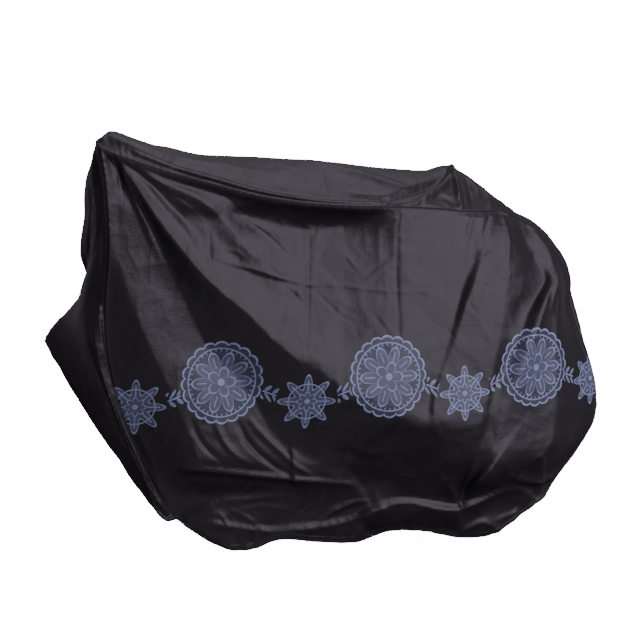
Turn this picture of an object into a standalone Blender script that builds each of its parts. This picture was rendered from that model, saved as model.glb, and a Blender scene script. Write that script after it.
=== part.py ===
"""Bicycle cover: three pieces of thin coated cloth, sewn together and draped.

A near and a far side panel hang from a gusset strip. The strip starts at the low flap in front, climbs to
a high front corner on each side, sags along the top, crosses the rear peak and goes down the back.

Frame: X runs along the cover, with the front flap towards -X. The near side is -Y and Z is up. The
origin lies on the strip's underside at its rear peak, where the cover is carried. The tables measure
heights from a level just below that. All sizes are in metres.

Each side panel is a patch between its four edges: the point at (u, v) is the blend of the two edge points
across plus the blend of the two edge points down, less the blend of the corners. The near panel is then
moved to the depth that its lines of drape give, the far one is pushed outwards by a table of bulges, and
both get their folds. The strip is a row of cross-sections between the two seams.
Each cloth is that outer surface and the same surface one cloth thickness further in.
"""

import bpy
import numpy as np

CLOTH = 0.002  # thickness of the cloth
SEAM_GAP = 0.0003  # space left between two pieces at a seam
LONGEST_MITRE = 1.4  # thicknesses that a sharp seam may reach inwards
FEWEST_TRIM = 0.15  # least sine of half a seam's angle that the trim allows for

COLUMNS = 46  # cells along a side panel
ROWS = 28  # cells down a side panel
FRONT_CROWDING = 0.35  # how much closer the cells stand at the front than at the rear
TOP_CROWDING = 0.20  # how much closer the cells stand at the top seam than at the hem
SEAM_HOLD = 0.035  # a fold fades to nothing over this distance from a seam
EDGE_REACH = 0.030  # the near panel's drape grows out of its edges over this distance
ROUNDING = 0.30  # how soft the crease at a line of the drape is, from 0 to 1
CLOSEST = 0.002  # least run between two lines of the drape
PATH_RUNS = 20  # straight runs that stand for a fold's path
UNDERSIDE = 0.0105  # height of the strip's underside at the rear peak, as the tables below give it

# Edges of the near side panel: x, y, z. Tops and hems run front to rear, fronts and rears run downwards.
NEAR_TOP = [
    (-1.010, -0.275, 0.070),
    (-0.965, -0.270, 0.052),
    (-0.870, -0.255, 0.020),
    (-0.730, -0.235, -0.018),
    (-0.625, -0.225, -0.046),
    (-0.480, -0.215, -0.070),
    (-0.345, -0.205, -0.080),
    (-0.230, -0.195, -0.083),
    (-0.120, -0.180, -0.090),
    (-0.015, -0.160, -0.100),
    (0.095, -0.130, -0.100),
]
NEAR_FRONT = [
    (-1.010, -0.275, 0.070),
    (-1.001, -0.266, 0.020),
    (-0.990, -0.251, -0.089),
    (-0.987, -0.237, -0.176),
    (-0.993, -0.219, -0.281),
    (-0.991, -0.198, -0.387),
    (-0.970, -0.172, -0.506),
    (-0.932, -0.150, -0.618),
    (-0.874, -0.135, -0.755),
    (-0.804, -0.128, -0.875),
]
NEAR_REAR = [
    (0.095, -0.130, -0.100),
    (0.158, -0.122, -0.132),
    (0.197, -0.118, -0.150),
    (0.257, -0.112, -0.200),
    (0.296, -0.110, -0.256),
    (0.308, -0.110, -0.300),
    (0.308, -0.110, -0.355),
    (0.330, -0.110, -0.420),
    (0.378, -0.108, -0.530),
    (0.400, -0.105, -0.620),
    (0.396, -0.100, -0.695),
    (0.355, -0.100, -0.755),
    (0.283, -0.105, -0.838),
    (0.245, -0.108, -0.900),
]
NEAR_HEM = [
    (-0.804, -0.128, -0.875),
    (-0.736, -0.138, -0.928),
    (-0.671, -0.147, -0.961),
    (-0.602, -0.150, -0.963),
    (-0.551, -0.152, -0.946),
    (-0.430, -0.154, -0.960),
    (-0.319, -0.154, -0.970),
    (-0.234, -0.154, -0.949),
    (-0.144, -0.154, -0.955),
    (-0.019, -0.152, -0.984),
    (0.082, -0.142, -0.982),
    (0.166, -0.122, -0.941),
    (0.245, -0.108, -0.900),
]

# Edges of the far side panel, whose high front corner stands further back.
FAR_TOP = [
    (-0.790, 0.255, 0.036),
    (-0.740, 0.248, 0.020),
    (-0.600, 0.230, -0.012),
    (-0.430, 0.210, -0.038),
    (-0.250, 0.190, -0.054),
    (-0.060, 0.165, -0.075),
    (0.095, 0.135, -0.095),
]
FAR_FRONT = [
    (-0.790, 0.255, 0.036),
    (-0.805, 0.235, -0.030),
    (-0.840, 0.195, -0.150),
    (-0.870, 0.155, -0.290),
    (-0.880, 0.125, -0.420),
    (-0.865, 0.105, -0.550),
    (-0.820, 0.095, -0.680),
    (-0.750, 0.105, -0.810),
]
FAR_REAR = [
    (0.095, 0.135, -0.095),
    (0.205, 0.122, -0.155),
    (0.283, 0.114, -0.260),
    (0.310, 0.110, -0.390),
    (0.362, 0.110, -0.530),
    (0.382, 0.106, -0.660),
    (0.330, 0.100, -0.780),
    (0.235, 0.105, -0.890),
]
FAR_HEM = [
    (-0.750, 0.105, -0.810),
    (-0.670, 0.130, -0.880),
    (-0.560, 0.160, -0.935),
    (-0.400, 0.170, -0.930),
    (-0.240, 0.170, -0.955),
    (-0.080, 0.165, -0.940),
    (0.080, 0.145, -0.965),
    (0.170, 0.120, -0.930),
    (0.235, 0.105, -0.890),
]

# Lines of the near panel's drape, front to rear, each from the top seam down to the hem as x, y, z. Between
# two neighbouring lines the cloth runs straight.
NEAR_DRAPE = [
    # crest that turns into the front
    [(-1.002, -0.262, 0.030), (-0.976, -0.238, -0.150), (-0.782, -0.199, -0.655),
     (-0.760, -0.196, -0.715), (-0.744, -0.176, -0.765), (-0.726, -0.150, -0.825),
     (-0.716, -0.152, -0.865), (-0.708, -0.150, -0.910)],
    # valley of the fan
    [(-0.974, -0.256, 0.030), (-0.902, -0.236, -0.090), (-0.776, -0.199, -0.340),
     (-0.744, -0.192, -0.405), (-0.628, -0.186, -0.540), (-0.548, -0.188, -0.670),
     (-0.448, -0.186, -0.745), (-0.380, -0.180, -0.790), (-0.358, -0.150, -0.850),
     (-0.354, -0.164, -0.890), (-0.344, -0.152, -0.945)],
    # crest of the fan
    [(-0.956, -0.262, 0.030), (-0.832, -0.249, -0.150), (-0.722, -0.246, -0.275),
     (-0.644, -0.246, -0.340), (-0.582, -0.246, -0.405), (-0.512, -0.246, -0.470),
     (-0.490, -0.232, -0.540), (-0.452, -0.200, -0.675), (-0.346, -0.177, -0.795),
     (-0.322, -0.152, -0.855), (-0.322, -0.166, -0.890), (-0.310, -0.152, -0.950)],
    # second
    [(-0.758, -0.226, -0.015), (-0.672, -0.211, -0.065), (-0.630, -0.191, -0.100),
     (-0.610, -0.203, -0.160), (-0.574, -0.221, -0.285), (-0.508, -0.239, -0.410),
     (-0.430, -0.247, -0.515), (-0.412, -0.224, -0.610), (-0.360, -0.186, -0.750),
     (-0.322, -0.172, -0.795), (-0.294, -0.152, -0.855), (-0.292, -0.167, -0.895),
     (-0.282, -0.154, -0.950)],
    # tuck
    [(-0.498, -0.212, -0.070), (-0.480, -0.170, -0.140), (-0.480, -0.180, -0.175),
     (-0.446, -0.231, -0.415), (-0.420, -0.245, -0.485), (-0.410, -0.248, -0.540),
     (-0.392, -0.229, -0.610), (-0.338, -0.189, -0.750), (-0.298, -0.172, -0.800),
     (-0.274, -0.152, -0.860), (-0.274, -0.168, -0.895), (-0.264, -0.153, -0.960)],
    # third
    [(-0.378, -0.204, -0.080), (-0.366, -0.168, -0.130), (-0.368, -0.179, -0.175),
     (-0.374, -0.193, -0.230), (-0.376, -0.203, -0.290), (-0.388, -0.237, -0.480),
     (-0.386, -0.249, -0.550), (-0.374, -0.236, -0.610), (-0.326, -0.191, -0.750),
     (-0.284, -0.173, -0.800), (-0.260, -0.152, -0.860), (-0.260, -0.168, -0.895),
     (-0.248, -0.154, -0.965)],
    # fourth
    [(-0.230, -0.195, -0.085), (-0.230, -0.192, -0.170), (-0.234, -0.208, -0.295),
     (-0.248, -0.246, -0.550), (-0.246, -0.252, -0.610), (-0.234, -0.230, -0.685),
     (-0.208, -0.186, -0.800), (-0.190, -0.156, -0.865), (-0.192, -0.169, -0.890),
     (-0.180, -0.154, -0.970)],
    # left of the step
    [(-0.006, -0.168, -0.105), (-0.018, -0.192, -0.230), (-0.042, -0.198, -0.285),
     (-0.128, -0.225, -0.520), (-0.154, -0.234, -0.585), (-0.156, -0.244, -0.645),
     (-0.140, -0.232, -0.690), (-0.104, -0.189, -0.810), (-0.090, -0.162, -0.870),
     (-0.090, -0.170, -0.900), (-0.076, -0.154, -0.970)],
    # right of the step
    [(0.012, -0.165, -0.105), (0.000, -0.200, -0.230), (-0.048, -0.218, -0.335),
     (-0.068, -0.225, -0.405), (-0.132, -0.244, -0.580), (-0.130, -0.246, -0.645),
     (-0.108, -0.236, -0.690), (-0.076, -0.197, -0.810), (-0.062, -0.166, -0.870),
     (-0.064, -0.170, -0.900), (-0.054, -0.154, -0.970)],
    # rear ridge
    [(0.100, -0.131, -0.110), (0.092, -0.172, -0.175), (0.090, -0.190, -0.240), (0.058, -0.211, -0.340),
     (0.006, -0.232, -0.590), (-0.012, -0.234, -0.655), (-0.040, -0.210, -0.770),
     (-0.050, -0.182, -0.830), (-0.048, -0.164, -0.870), (-0.048, -0.168, -0.905),
     (-0.042, -0.154, -0.970)],
    # rear valley
    [(0.148, -0.125, -0.130), (0.160, -0.142, -0.180), (0.194, -0.152, -0.245), (0.208, -0.160, -0.285),
     (0.170, -0.177, -0.340), (0.134, -0.192, -0.390), (0.080, -0.210, -0.500), (0.052, -0.216, -0.545),
     (0.018, -0.224, -0.660), (-0.012, -0.200, -0.775), (-0.028, -0.172, -0.845),
     (-0.030, -0.160, -0.970)],
    # rear lobe crest
    [(0.178, -0.122, -0.150), (0.192, -0.136, -0.180), (0.220, -0.151, -0.250), (0.224, -0.167, -0.285),
     (0.192, -0.193, -0.335), (0.166, -0.206, -0.390), (0.118, -0.224, -0.500), (0.060, -0.235, -0.660),
     (0.050, -0.229, -0.705), (-0.016, -0.178, -0.845), (-0.012, -0.160, -0.910),
     (-0.012, -0.158, -0.965)],
    # rear lobe edge
    [(0.220, -0.130, -0.180), (0.236, -0.149, -0.250), (0.242, -0.169, -0.295), (0.242, -0.176, -0.340),
     (0.230, -0.188, -0.445), (0.218, -0.192, -0.690), (0.204, -0.188, -0.745), (0.068, -0.172, -0.835),
     (0.024, -0.160, -0.870), (0.022, -0.156, -0.910), (0.022, -0.154, -0.965)],
]

# How far the far panel swells outwards from its patch. Columns: share of the way down. Rows: share of the
# way along. The second column is the tuck under the strip, the eighth the crest above the drawn-in hem.
BULGE_DOWN = (0.00, 0.035, 0.11, 0.25, 0.42, 0.60, 0.76, 0.86, 0.93, 1.00)
FAR_BULGE = {
    0.00: (0, 0.000, 0.000, 0.000, 0.000, 0.000, 0.000, 0.000, 0.000, 0),
    0.10: (0, 0.002, 0.006, 0.012, 0.014, 0.012, 0.014, 0.012, 0.004, 0),
    0.30: (0, -0.018, -0.004, 0.016, 0.026, 0.030, 0.044, 0.052, 0.010, 0),
    0.52: (0, -0.026, -0.006, 0.020, 0.040, 0.048, 0.060, 0.062, 0.012, 0),
    0.72: (0, -0.004, 0.008, 0.026, 0.044, 0.056, 0.060, 0.052, 0.018, 0),
    0.90: (0, 0.003, 0.012, 0.024, 0.032, 0.038, 0.038, 0.028, 0.012, 0),
    1.00: (0, 0.000, 0.000, 0.000, 0.000, 0.000, 0.000, 0.000, 0.000, 0),
}

# Folds, drawn as paths seen from the side. Each row: the path's x and z; the half width to its left and right
# at the start; the same at the end; the height at the start, the middle and the end; crispness of the crest.
NEAR_FOLDS = [
    # the fan that hangs from the high front corner
    ([(-0.968, 0.038), (-0.945, -0.010), (-0.924, -0.054), (-0.902, -0.100), (-0.879, -0.151),
      (-0.863, -0.191)],
     0.012, 0.010, 0.018, 0.016, 0.002, 0.0045, 0.001, 0.400),
    ([(-0.966, 0.052), (-0.922, 0.018), (-0.877, -0.020), (-0.837, -0.064), (-0.780, -0.105),
      (-0.740, -0.149), (-0.716, -0.194)],
     0.010, 0.010, 0.034, 0.030, -0.002, -0.009, -0.002, 0.300),
    ([(-0.947, 0.042), (-0.886, 0.001), (-0.826, -0.026), (-0.759, -0.056), (-0.704, -0.092),
      (-0.667, -0.123)],
     0.010, 0.012, 0.030, 0.026, 0.002, 0.007, 0.001, 0.400),
    # small fold under the rear peak
    ([(0.094, -0.120), (0.093, -0.166), (0.085, -0.223), (0.080, -0.280)],
     0.020, 0.020, 0.020, 0.020, 0.003, 0.0045, 0.002, 0.900),
    # the rear falls
    ([(0.188, -0.338), (0.156, -0.389), (0.124, -0.451), (0.100, -0.507)],
     0.020, 0.020, 0.020, 0.020, -0.001, -0.005, -0.001, 0.500),
    ([(0.264, -0.248), (0.233, -0.308), (0.212, -0.371)],
     0.020, 0.020, 0.020, 0.020, 0.001, 0.006, 0.001, 0.700),
    # lobes between the middle of the panel and the shelf
    ([(-0.721, -0.609), (-0.700, -0.661), (-0.664, -0.705), (-0.620, -0.735)],
     0.020, 0.020, 0.020, 0.020, 0.001, 0.004, 0.001, 0.500),
    ([(-0.655, -0.624), (-0.632, -0.669), (-0.600, -0.705), (-0.556, -0.742), (-0.523, -0.761)],
     0.020, 0.020, 0.020, 0.020, -0.002, -0.008, -0.003, 0.400),
    ([(-0.625, -0.616), (-0.589, -0.659), (-0.546, -0.701), (-0.514, -0.735), (-0.464, -0.768)],
     0.020, 0.020, 0.020, 0.020, 0.002, 0.006, 0.002, 0.500),
    # the shelf, the low ridge under it, and the ridge above the drawn-in hem
    ([(-0.795, -0.728), (-0.720, -0.739), (-0.645, -0.753), (-0.571, -0.766), (-0.511, -0.776),
      (-0.435, -0.789), (-0.351, -0.804)],
     0.028, 0.028, 0.028, 0.028, 0.004, 0.010, 0.003, 0.800),
    ([(-0.776, -0.868), (-0.737, -0.853), (-0.701, -0.847), (-0.616, -0.843), (-0.531, -0.830)],
     0.034, 0.028, 0.028, 0.028, 0.004, 0.009, 0.002, 0.800),
    ([(-0.781, -0.873), (-0.712, -0.885), (-0.638, -0.901), (-0.564, -0.915), (-0.500, -0.914),
      (-0.424, -0.911), (-0.375, -0.907), (-0.337, -0.896), (-0.303, -0.885), (-0.250, -0.870),
      (-0.188, -0.866), (-0.122, -0.880), (-0.041, -0.894), (0.026, -0.873), (0.088, -0.860),
      (0.141, -0.856), (0.194, -0.884)],
     0.028, 0.028, 0.028, 0.028, 0.008, 0.013, 0.006, 0.800),
    ([(0.255, -0.764), (0.189, -0.786), (0.141, -0.817), (0.085, -0.850), (0.007, -0.877)],
     0.028, 0.028, 0.028, 0.028, -0.002, -0.009, -0.004, 0.600),
    ([(0.116, -0.826), (0.172, -0.842), (0.224, -0.850), (0.279, -0.845)],
     0.030, 0.028, 0.028, 0.028, 0.004, 0.009, 0.003, 0.800),
]
FAR_FOLDS = [
    ([(-0.745, 0.000), (-0.640, -0.140), (-0.500, -0.320), (-0.350, -0.480)],
     0.016, 0.018, 0.110, 0.090, 0.006, 0.028, 0.016, 0.4),
    ([(-0.770, 0.000), (-0.720, -0.160), (-0.650, -0.340), (-0.560, -0.520)],
     0.014, 0.014, 0.070, 0.070, -0.004, -0.022, -0.012, 0.2),
    ([(-0.700, -0.020), (-0.590, -0.120), (-0.480, -0.230)],
     0.012, 0.014, 0.050, 0.050, -0.004, -0.010, -0.001, 0.3),
    ([(-0.800, -0.080), (-0.770, -0.300), (-0.720, -0.560)],
     0.014, 0.014, 0.050, 0.050, 0.004, 0.014, 0.003, 0.3),
    ([(0.000, -0.120), (-0.050, -0.320), (-0.140, -0.600)],
     0.016, 0.050, 0.014, 0.060, 0.005, 0.013, 0.003, 0.5),
    ([(0.190, -0.260), (0.150, -0.420), (0.090, -0.620)],
     0.036, 0.026, 0.050, 0.040, 0.003, 0.013, 0.003, 0.5),
    ([(-0.620, -0.620), (-0.580, -0.690), (-0.500, -0.760)],
     0.034, 0.040, 0.034, 0.040, 0.002, 0.015, 0.008, 0.4),
    ([(-0.300, -0.600), (-0.280, -0.690), (-0.220, -0.780)],
     0.034, 0.040, 0.034, 0.040, 0.002, 0.015, 0.008, 0.4),
    ([(0.060, -0.640), (0.020, -0.740), (-0.040, -0.850)],
     0.040, 0.030, 0.030, 0.026, 0.003, 0.014, 0.006, 0.5),
    ([(-0.720, -0.820), (-0.600, -0.872), (-0.460, -0.868), (-0.330, -0.892), (-0.200, -0.878),
      (-0.060, -0.868), (0.050, -0.880), (0.140, -0.850)],
     0.024, 0.028, 0.022, 0.024, 0.008, 0.020, 0.008, 0.8),
]

# Cross-sections of the gusset strip between the two seams. Station: 0 to 1 climbs the front, 1 to 2 runs
# along the top, 2 to 3 goes down the rear. Then the near shoulder measured from the near seam, the crown,
# and the far shoulder measured from the far seam, each as x, y, z.
STRIP_ACROSS = (0.00, 0.14, 0.50, 0.86, 1.00)
STRIP = {
    0.00: ((-0.040, -0.008, 0.008), (-1.113, 0.000, -0.415), (-0.040, -0.004, 0.020)),
    0.15: ((-0.006, -0.032, -0.014), (-1.104, 0.000, -0.398), (-0.024, 0.012, -0.004)),
    0.35: ((-0.012, -0.034, -0.010), (-1.082, 0.000, -0.370), (-0.026, 0.014, -0.004)),
    0.55: ((-0.034, -0.012, 0.000), (-1.045, 0.000, -0.334), (-0.040, 0.000, 0.000)),
    0.66: ((-0.034, 0.030, 0.010), (-1.012, 0.000, -0.296), (-0.050, -0.026, 0.000)),
    0.74: ((-0.026, 0.040, 0.000), (-0.994, -0.005, -0.262), (-0.048, -0.028, 0.000)),
    0.82: ((-0.018, 0.040, 0.000), (-1.012, -0.050, -0.200), (-0.045, -0.026, 0.000)),
    0.90: ((-0.012, 0.036, 0.000), (-1.004, -0.070, -0.110), (-0.040, -0.022, 0.000)),
    0.97: ((-0.014, 0.026, 0.004), (-0.985, -0.060, 0.015), (-0.030, -0.016, 0.006)),
    1.00: ((-0.006, 0.014, 0.014), (-0.935, -0.040, 0.088), (-0.012, -0.012, 0.026)),
    1.03: ((-0.006, 0.030, 0.044), (-0.880, -0.030, 0.084), (-0.006, -0.013, 0.030)),
    1.06: ((0.004, 0.014, 0.038), (-0.838, -0.020, 0.077), (0.002, -0.014, 0.034)),
    1.14: ((0.014, 0.009, 0.024), (-0.745, -0.010, 0.057), (0.010, -0.018, 0.030)),
    1.30: ((0.018, 0.012, 0.022), (-0.585, 0.000, 0.045), (0.010, -0.018, 0.030)),
    1.50: ((0.016, 0.016, 0.022), (-0.400, 0.000, 0.034), (0.000, -0.016, 0.028)),
    1.68: ((0.010, 0.020, 0.026), (-0.200, 0.000, 0.013), (0.000, -0.018, 0.026)),
    1.80: ((0.010, 0.026, 0.038), (-0.080, 0.000, 0.006), (0.000, -0.022, 0.030)),
    1.90: ((0.010, 0.036, 0.046), (0.000, 0.000, 0.014), (0.000, -0.034, 0.036)),
    1.96: ((0.012, 0.028, 0.030), (0.056, 0.000, -0.022), (0.008, -0.028, 0.028)),
    2.00: ((0.014, 0.022, 0.014), (0.105, 0.000, -0.068), (0.014, -0.024, 0.014)),
    2.12: ((0.010, 0.020, 0.010), (0.218, 0.000, -0.132), (0.012, -0.022, 0.008)),
    2.30: ((0.012, 0.020, 0.004), (0.326, 0.000, -0.278), (0.014, -0.022, 0.004)),
    2.55: ((0.010, 0.020, 0.004), (0.398, 0.000, -0.508), (0.012, -0.020, 0.004)),
    2.75: ((0.012, 0.020, -0.002), (0.418, 0.000, -0.700), (0.012, -0.020, 0.000)),
    2.90: ((0.014, 0.020, -0.008), (0.330, 0.000, -0.822), (0.012, -0.018, -0.006)),
    3.00: ((0.010, 0.022, -0.002), (0.270, 0.000, -0.892), (0.010, -0.020, 0.000)),
}
ACROSS_CELLS = 12  # cells across the strip

CLOTH_COLOUR = (0.030, 0.028, 0.032, 1.0)
STRIP_COLOUR = (0.026, 0.024, 0.027, 1.0)
SHEEN_ROUGHNESS = 0.42


def smooth(knots, values, at):
    """Values at `at` on a cubic through `values` at `knots`, its slopes averaged from the spans around."""
    knots = np.asarray(knots, float)
    values = np.asarray(values, float)
    span = np.diff(knots)
    slope = np.diff(values, axis=0) / span.reshape((-1,) + (1,) * (values.ndim - 1))
    before = span[:-1].reshape((-1,) + (1,) * (values.ndim - 1))
    after = span[1:].reshape(before.shape)
    middle = (slope[:-1] * after + slope[1:] * before) / (before + after)
    slopes = np.concatenate([slope[:1], middle, slope[-1:]])
    i = np.clip(np.searchsorted(knots, at, side="right") - 1, 0, len(span) - 1)
    shape = (-1,) + (1,) * (values.ndim - 1)
    t = ((np.asarray(at) - knots[i]) / span[i]).reshape(shape)
    h = span[i].reshape(shape)
    start = values[i] * (1 + 2 * t) * (1 - t) ** 2 + slopes[i] * h * t * (1 - t) ** 2
    end = values[i + 1] * t**2 * (3 - 2 * t) - slopes[i + 1] * h * t**2 * (1 - t)
    return start + end


def along(points, at):
    """Points at the fractions `at` of a smooth curve through `points`."""
    steps = np.linalg.norm(np.diff(np.array(points), axis=0), axis=1)
    knots = np.concatenate([[0.0], np.cumsum(steps)]) / steps.sum()
    return smooth(knots, points, at)


def crowded(cells, crowding):
    """Fractions from 0 to 1 whose steps grow evenly, closer together at 0."""
    t = np.linspace(0.0, 1.0, cells + 1)
    return t * (1 - crowding) + t**2 * crowding


def ease(t):
    """0 below 0, 1 above 1 and a soft rise between."""
    t = np.clip(t, 0.0, 1.0)
    return t * t * (3 - 2 * t)


def nearest(x, z, path):
    """Distance to the path, share of the path walked at the nearest place, and whether the point lies on its
    right. For each run from a to b the nearest place is a + t (b - a), with t held between 0 and 1."""
    line = along(path, np.linspace(0.0, 1.0, PATH_RUNS + 1))
    best = np.full(x.shape, np.inf)
    walked, right = np.zeros(x.shape), np.zeros(x.shape, bool)
    for k in range(PATH_RUNS):
        (ax, az), (rx, rz) = line[k], line[k + 1] - line[k]
        t = np.clip(((x - ax) * rx + (z - az) * rz) / (rx * rx + rz * rz), 0.0, 1.0)
        dx, dz = x - ax - t * rx, z - az - t * rz
        distance = np.hypot(dx, dz)
        closer = distance < best
        best = np.where(closer, distance, best)
        walked = np.where(closer, (k + t) / PATH_RUNS, walked)
        right = np.where(closer, dx * rz - dz * rx > 0, right)
    return best, walked, right


def fold_heights(x, z, folds):
    """Height of all folds at side-view points: highest on the path and 0 one half width to each side."""
    total = np.zeros_like(x)
    for path, left0, right0, left1, right1, start, middle, end, crisp in folds:
        distance, walked, right = nearest(x, z, path)
        half = np.where(right, right0 + (right1 - right0) * walked, left0 + (left1 - left0) * walked)
        near = np.clip(1 - distance / half, 0.0, 1.0)
        section = ease(near) * (1 - crisp) + near**2 * crisp
        height = smooth((0.0, 0.5, 1.0), (start, middle, end), walked.ravel()).reshape(x.shape)
        total += height * section
    return total


def draped_depth(x, z, lines):
    """Depth y at side-view points. Every line has its own x and y at that height; between two neighbouring
    lines the depth runs straight, a little eased at both, so that each line is a soft crease."""
    pins = []
    for line in lines:
        line = np.array(line)
        heights = np.clip(z.ravel(), line[-1, 2], line[0, 2])
        pins.append(smooth(-line[:, 2], line[:, :2], -heights).reshape(*z.shape, 2))
    depth = pins[0][..., 1].copy()
    start = pins[0][..., 0]
    for before, after in zip(pins, pins[1:]):
        end = np.maximum(after[..., 0], start + CLOSEST)
        t = np.clip((x - start) / (end - start), 0.0, 1.0)
        depth += (after[..., 1] - before[..., 1]) * (t * (1 - ROUNDING) + ease(t) * ROUNDING)
        start = end
    return depth


def patch(top, hem, front, rear, us, vs):
    """Blend of four edges: rows run down from the top, columns from front to rear."""
    t, h, f, r = along(top, us), along(hem, us), along(front, vs), along(rear, vs)
    u, v = us[None, :, None], vs[:, None, None]
    corners = (1 - v) * ((1 - u) * t[0] + u * t[-1]) + v * ((1 - u) * h[0] + u * h[-1])
    return (1 - v) * t[None] + v * h[None] + (1 - u) * f[:, None] + u * r[:, None] - corners


def outward(grid, side):
    """Unit normals of a grid of points, on its outer side: side is -1 for the near panel, 1 for the far."""
    normals = np.cross(np.gradient(grid, axis=0), np.gradient(grid, axis=1))
    normals *= -side / np.linalg.norm(normals, axis=2, keepdims=True)
    return normals


def side_panel(top, hem, front, rear, lines, bulge, folds, side):
    """Outer surface of a side panel as a grid of points: the patch, moved to the depth of its lines or out by
    its bulges, then folded. Lines and folds fade out at the edges that hold them."""
    us, vs = crowded(COLUMNS, FRONT_CROWDING), crowded(ROWS, TOP_CROWDING)
    grid = patch(top, hem, front, rear, us, vs)
    x, z = grid[..., 0].copy(), grid[..., 2].copy()
    from_top = np.linalg.norm(grid - grid[:1], axis=2)
    from_front = np.linalg.norm(grid - grid[:, :1], axis=2)
    from_rear = np.linalg.norm(grid - grid[:, -1:], axis=2)
    from_hem = np.linalg.norm(grid - grid[-1:], axis=2)
    from_seam = np.minimum(np.minimum(from_top, from_front), from_rear)
    if lines:
        held = ease(np.minimum(from_seam, from_hem) / EDGE_REACH)
        grid[..., 1] += (draped_depth(x, z, [front] + lines + [rear]) - grid[..., 1]) * held
    if bulge:
        down = np.array([smooth(BULGE_DOWN, row, vs) for row in bulge.values()])
        grid += outward(grid, side) * smooth(list(bulge), down, us).T[..., None]
    folded = fold_heights(x, z, folds) * ease(from_seam / SEAM_HOLD)
    return grid + outward(grid, side) * folded[..., None]


def strip(near, far):
    """Outer surface of the gusset strip. Near and far are the seams' points from front hem to rear hem."""
    climb, run = crowded(ROWS, TOP_CROWDING), crowded(COLUMNS, FRONT_CROWDING)
    stations = np.concatenate([1 - climb[::-1], 1 + run[1:], 2 + climb[1:]])
    inner = smooth(list(STRIP), list(STRIP.values()), stations)
    inner[:, 0] += near
    inner[:, 2] += far
    across = 0.5 - 0.5 * np.cos(np.linspace(0.0, np.pi, ACROSS_CELLS + 1))
    rows = [
        smooth(STRIP_ACROSS, np.vstack([near[i], inner[i], far[i]]), across)
        for i in range(len(stations))
    ]
    return np.array(rows)


def seam(grid):
    """A side panel's sewn edge: up its front, along its top and down its rear."""
    return np.concatenate([grid[::-1, 0], grid[0, 1:], grid[1:, -1]])


def triangles(ids, points, flip):
    """Triangles of a grid of vertex numbers, each cell cut along its shorter diagonal."""
    a, b, c, d = ids[:-1, :-1], ids[1:, :-1], ids[1:, 1:], ids[:-1, 1:]
    falling = np.linalg.norm(points[a] - points[c], axis=-1)
    rising = np.linalg.norm(points[b] - points[d], axis=-1)
    cut = (falling < rising)[..., None]
    one = np.where(cut, np.stack([a, b, c], -1), np.stack([a, b, d], -1))
    two = np.where(cut, np.stack([a, c, d], -1), np.stack([b, c, d], -1))
    faces = np.concatenate([one.reshape(-1, 3), two.reshape(-1, 3)])
    return faces[:, ::-1] if flip else faces


def inner_points(points, faces):
    """Every point moved one cloth thickness inwards, further where its faces meet at an angle."""
    corners = points[faces]
    flat = np.cross(corners[:, 1] - corners[:, 0], corners[:, 2] - corners[:, 0])
    unit = flat / np.linalg.norm(flat, axis=1, keepdims=True)
    normals = np.zeros_like(points)
    lean = np.zeros(len(points))
    count = np.zeros(len(points))
    for k in range(3):
        np.add.at(normals, faces[:, k], unit)
    normals /= np.linalg.norm(normals, axis=1, keepdims=True)
    for k in range(3):
        np.add.at(lean, faces[:, k], (unit * normals[faces[:, k]]).sum(1))
        np.add.at(count, faces[:, k], 1)
    mitre = np.clip(count / lean, 1.0, LONGEST_MITRE)
    return points - normals * (CLOTH * mitre)[:, None]


def rim(ids):
    """Vertex numbers around a grid, down its first column, round and back to its first corner."""
    return np.concatenate([ids[:, 0], ids[-1, 1:], ids[-2::-1, -1], ids[0, -2::-1]])


def add_cloth(name, outer, inner, flip, colour):
    """One closed sheet from a grid of outer points and the grid one thickness further in."""
    ids = np.arange(outer[..., 0].size).reshape(outer.shape[:2])
    points = np.concatenate([outer.reshape(-1, 3), inner.reshape(-1, 3)])
    front = triangles(ids, points, flip)
    back = front[:, ::-1] + ids.size
    edge = rim(ids)
    sides = triangles(np.stack([edge, edge + ids.size]), points, flip)
    mesh = bpy.data.meshes.new(name)
    mesh.from_pydata(points.tolist(), [], np.concatenate([front, back, sides]).tolist())
    mesh.shade_smooth()
    mesh.materials.append(cloth_material(name, colour))
    piece = bpy.data.objects.new(name, mesh)
    bpy.context.scene.collection.objects.link(piece)
    return piece


def cloth_material(name, colour):
    material = bpy.data.materials.new(name)
    material.use_nodes = True
    shader = material.node_tree.nodes["Principled BSDF"]
    shader.inputs["Base Color"].default_value = colour
    shader.inputs["Roughness"].default_value = SHEEN_ROUGHNESS
    shader.inputs["Metallic"].default_value = 0.0
    return material


def trims(line, panel_next, strip_next):
    """How far the cloths are cut back along a seam, so that half the gap lies on each side of it."""
    run = np.gradient(line, axis=0)
    run /= np.linalg.norm(run, axis=1, keepdims=True)
    to_panel, to_strip = panel_next - line, strip_next - line
    for away in (to_panel, to_strip):
        away -= run * (away * run).sum(1, keepdims=True)
        away /= np.linalg.norm(away, axis=1, keepdims=True)
    half_angle_sine = np.sqrt((1 - (to_panel * to_strip).sum(1)) / 2)
    cut = SEAM_GAP / 2 / np.maximum(half_angle_sine, FEWEST_TRIM)
    return to_panel * cut[:, None], to_strip * cut[:, None]


def panel_ring(grid):
    """The points next to a side panel's sewn edge, in the order of the seam."""
    front, top, rear = grid[::-1, 1].copy(), grid[1].copy(), grid[:, -2].copy()
    return np.concatenate([front[:-1], grid[1:2, 1], top[1:-1], grid[1:2, -2], rear[1:]])


def cut_panel(grid, cut):
    """The panel with its sewn edge moved back by `cut`, one row for each point of the seam."""
    rows, columns = grid.shape[0] - 1, grid.shape[1] - 1
    grid = grid.copy()
    grid[::-1, 0] += cut[: rows + 1]
    grid[0, 1:] += cut[rows + 1 : rows + 1 + columns]
    grid[1:, -1] += cut[rows + 1 + columns :]
    return grid


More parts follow.
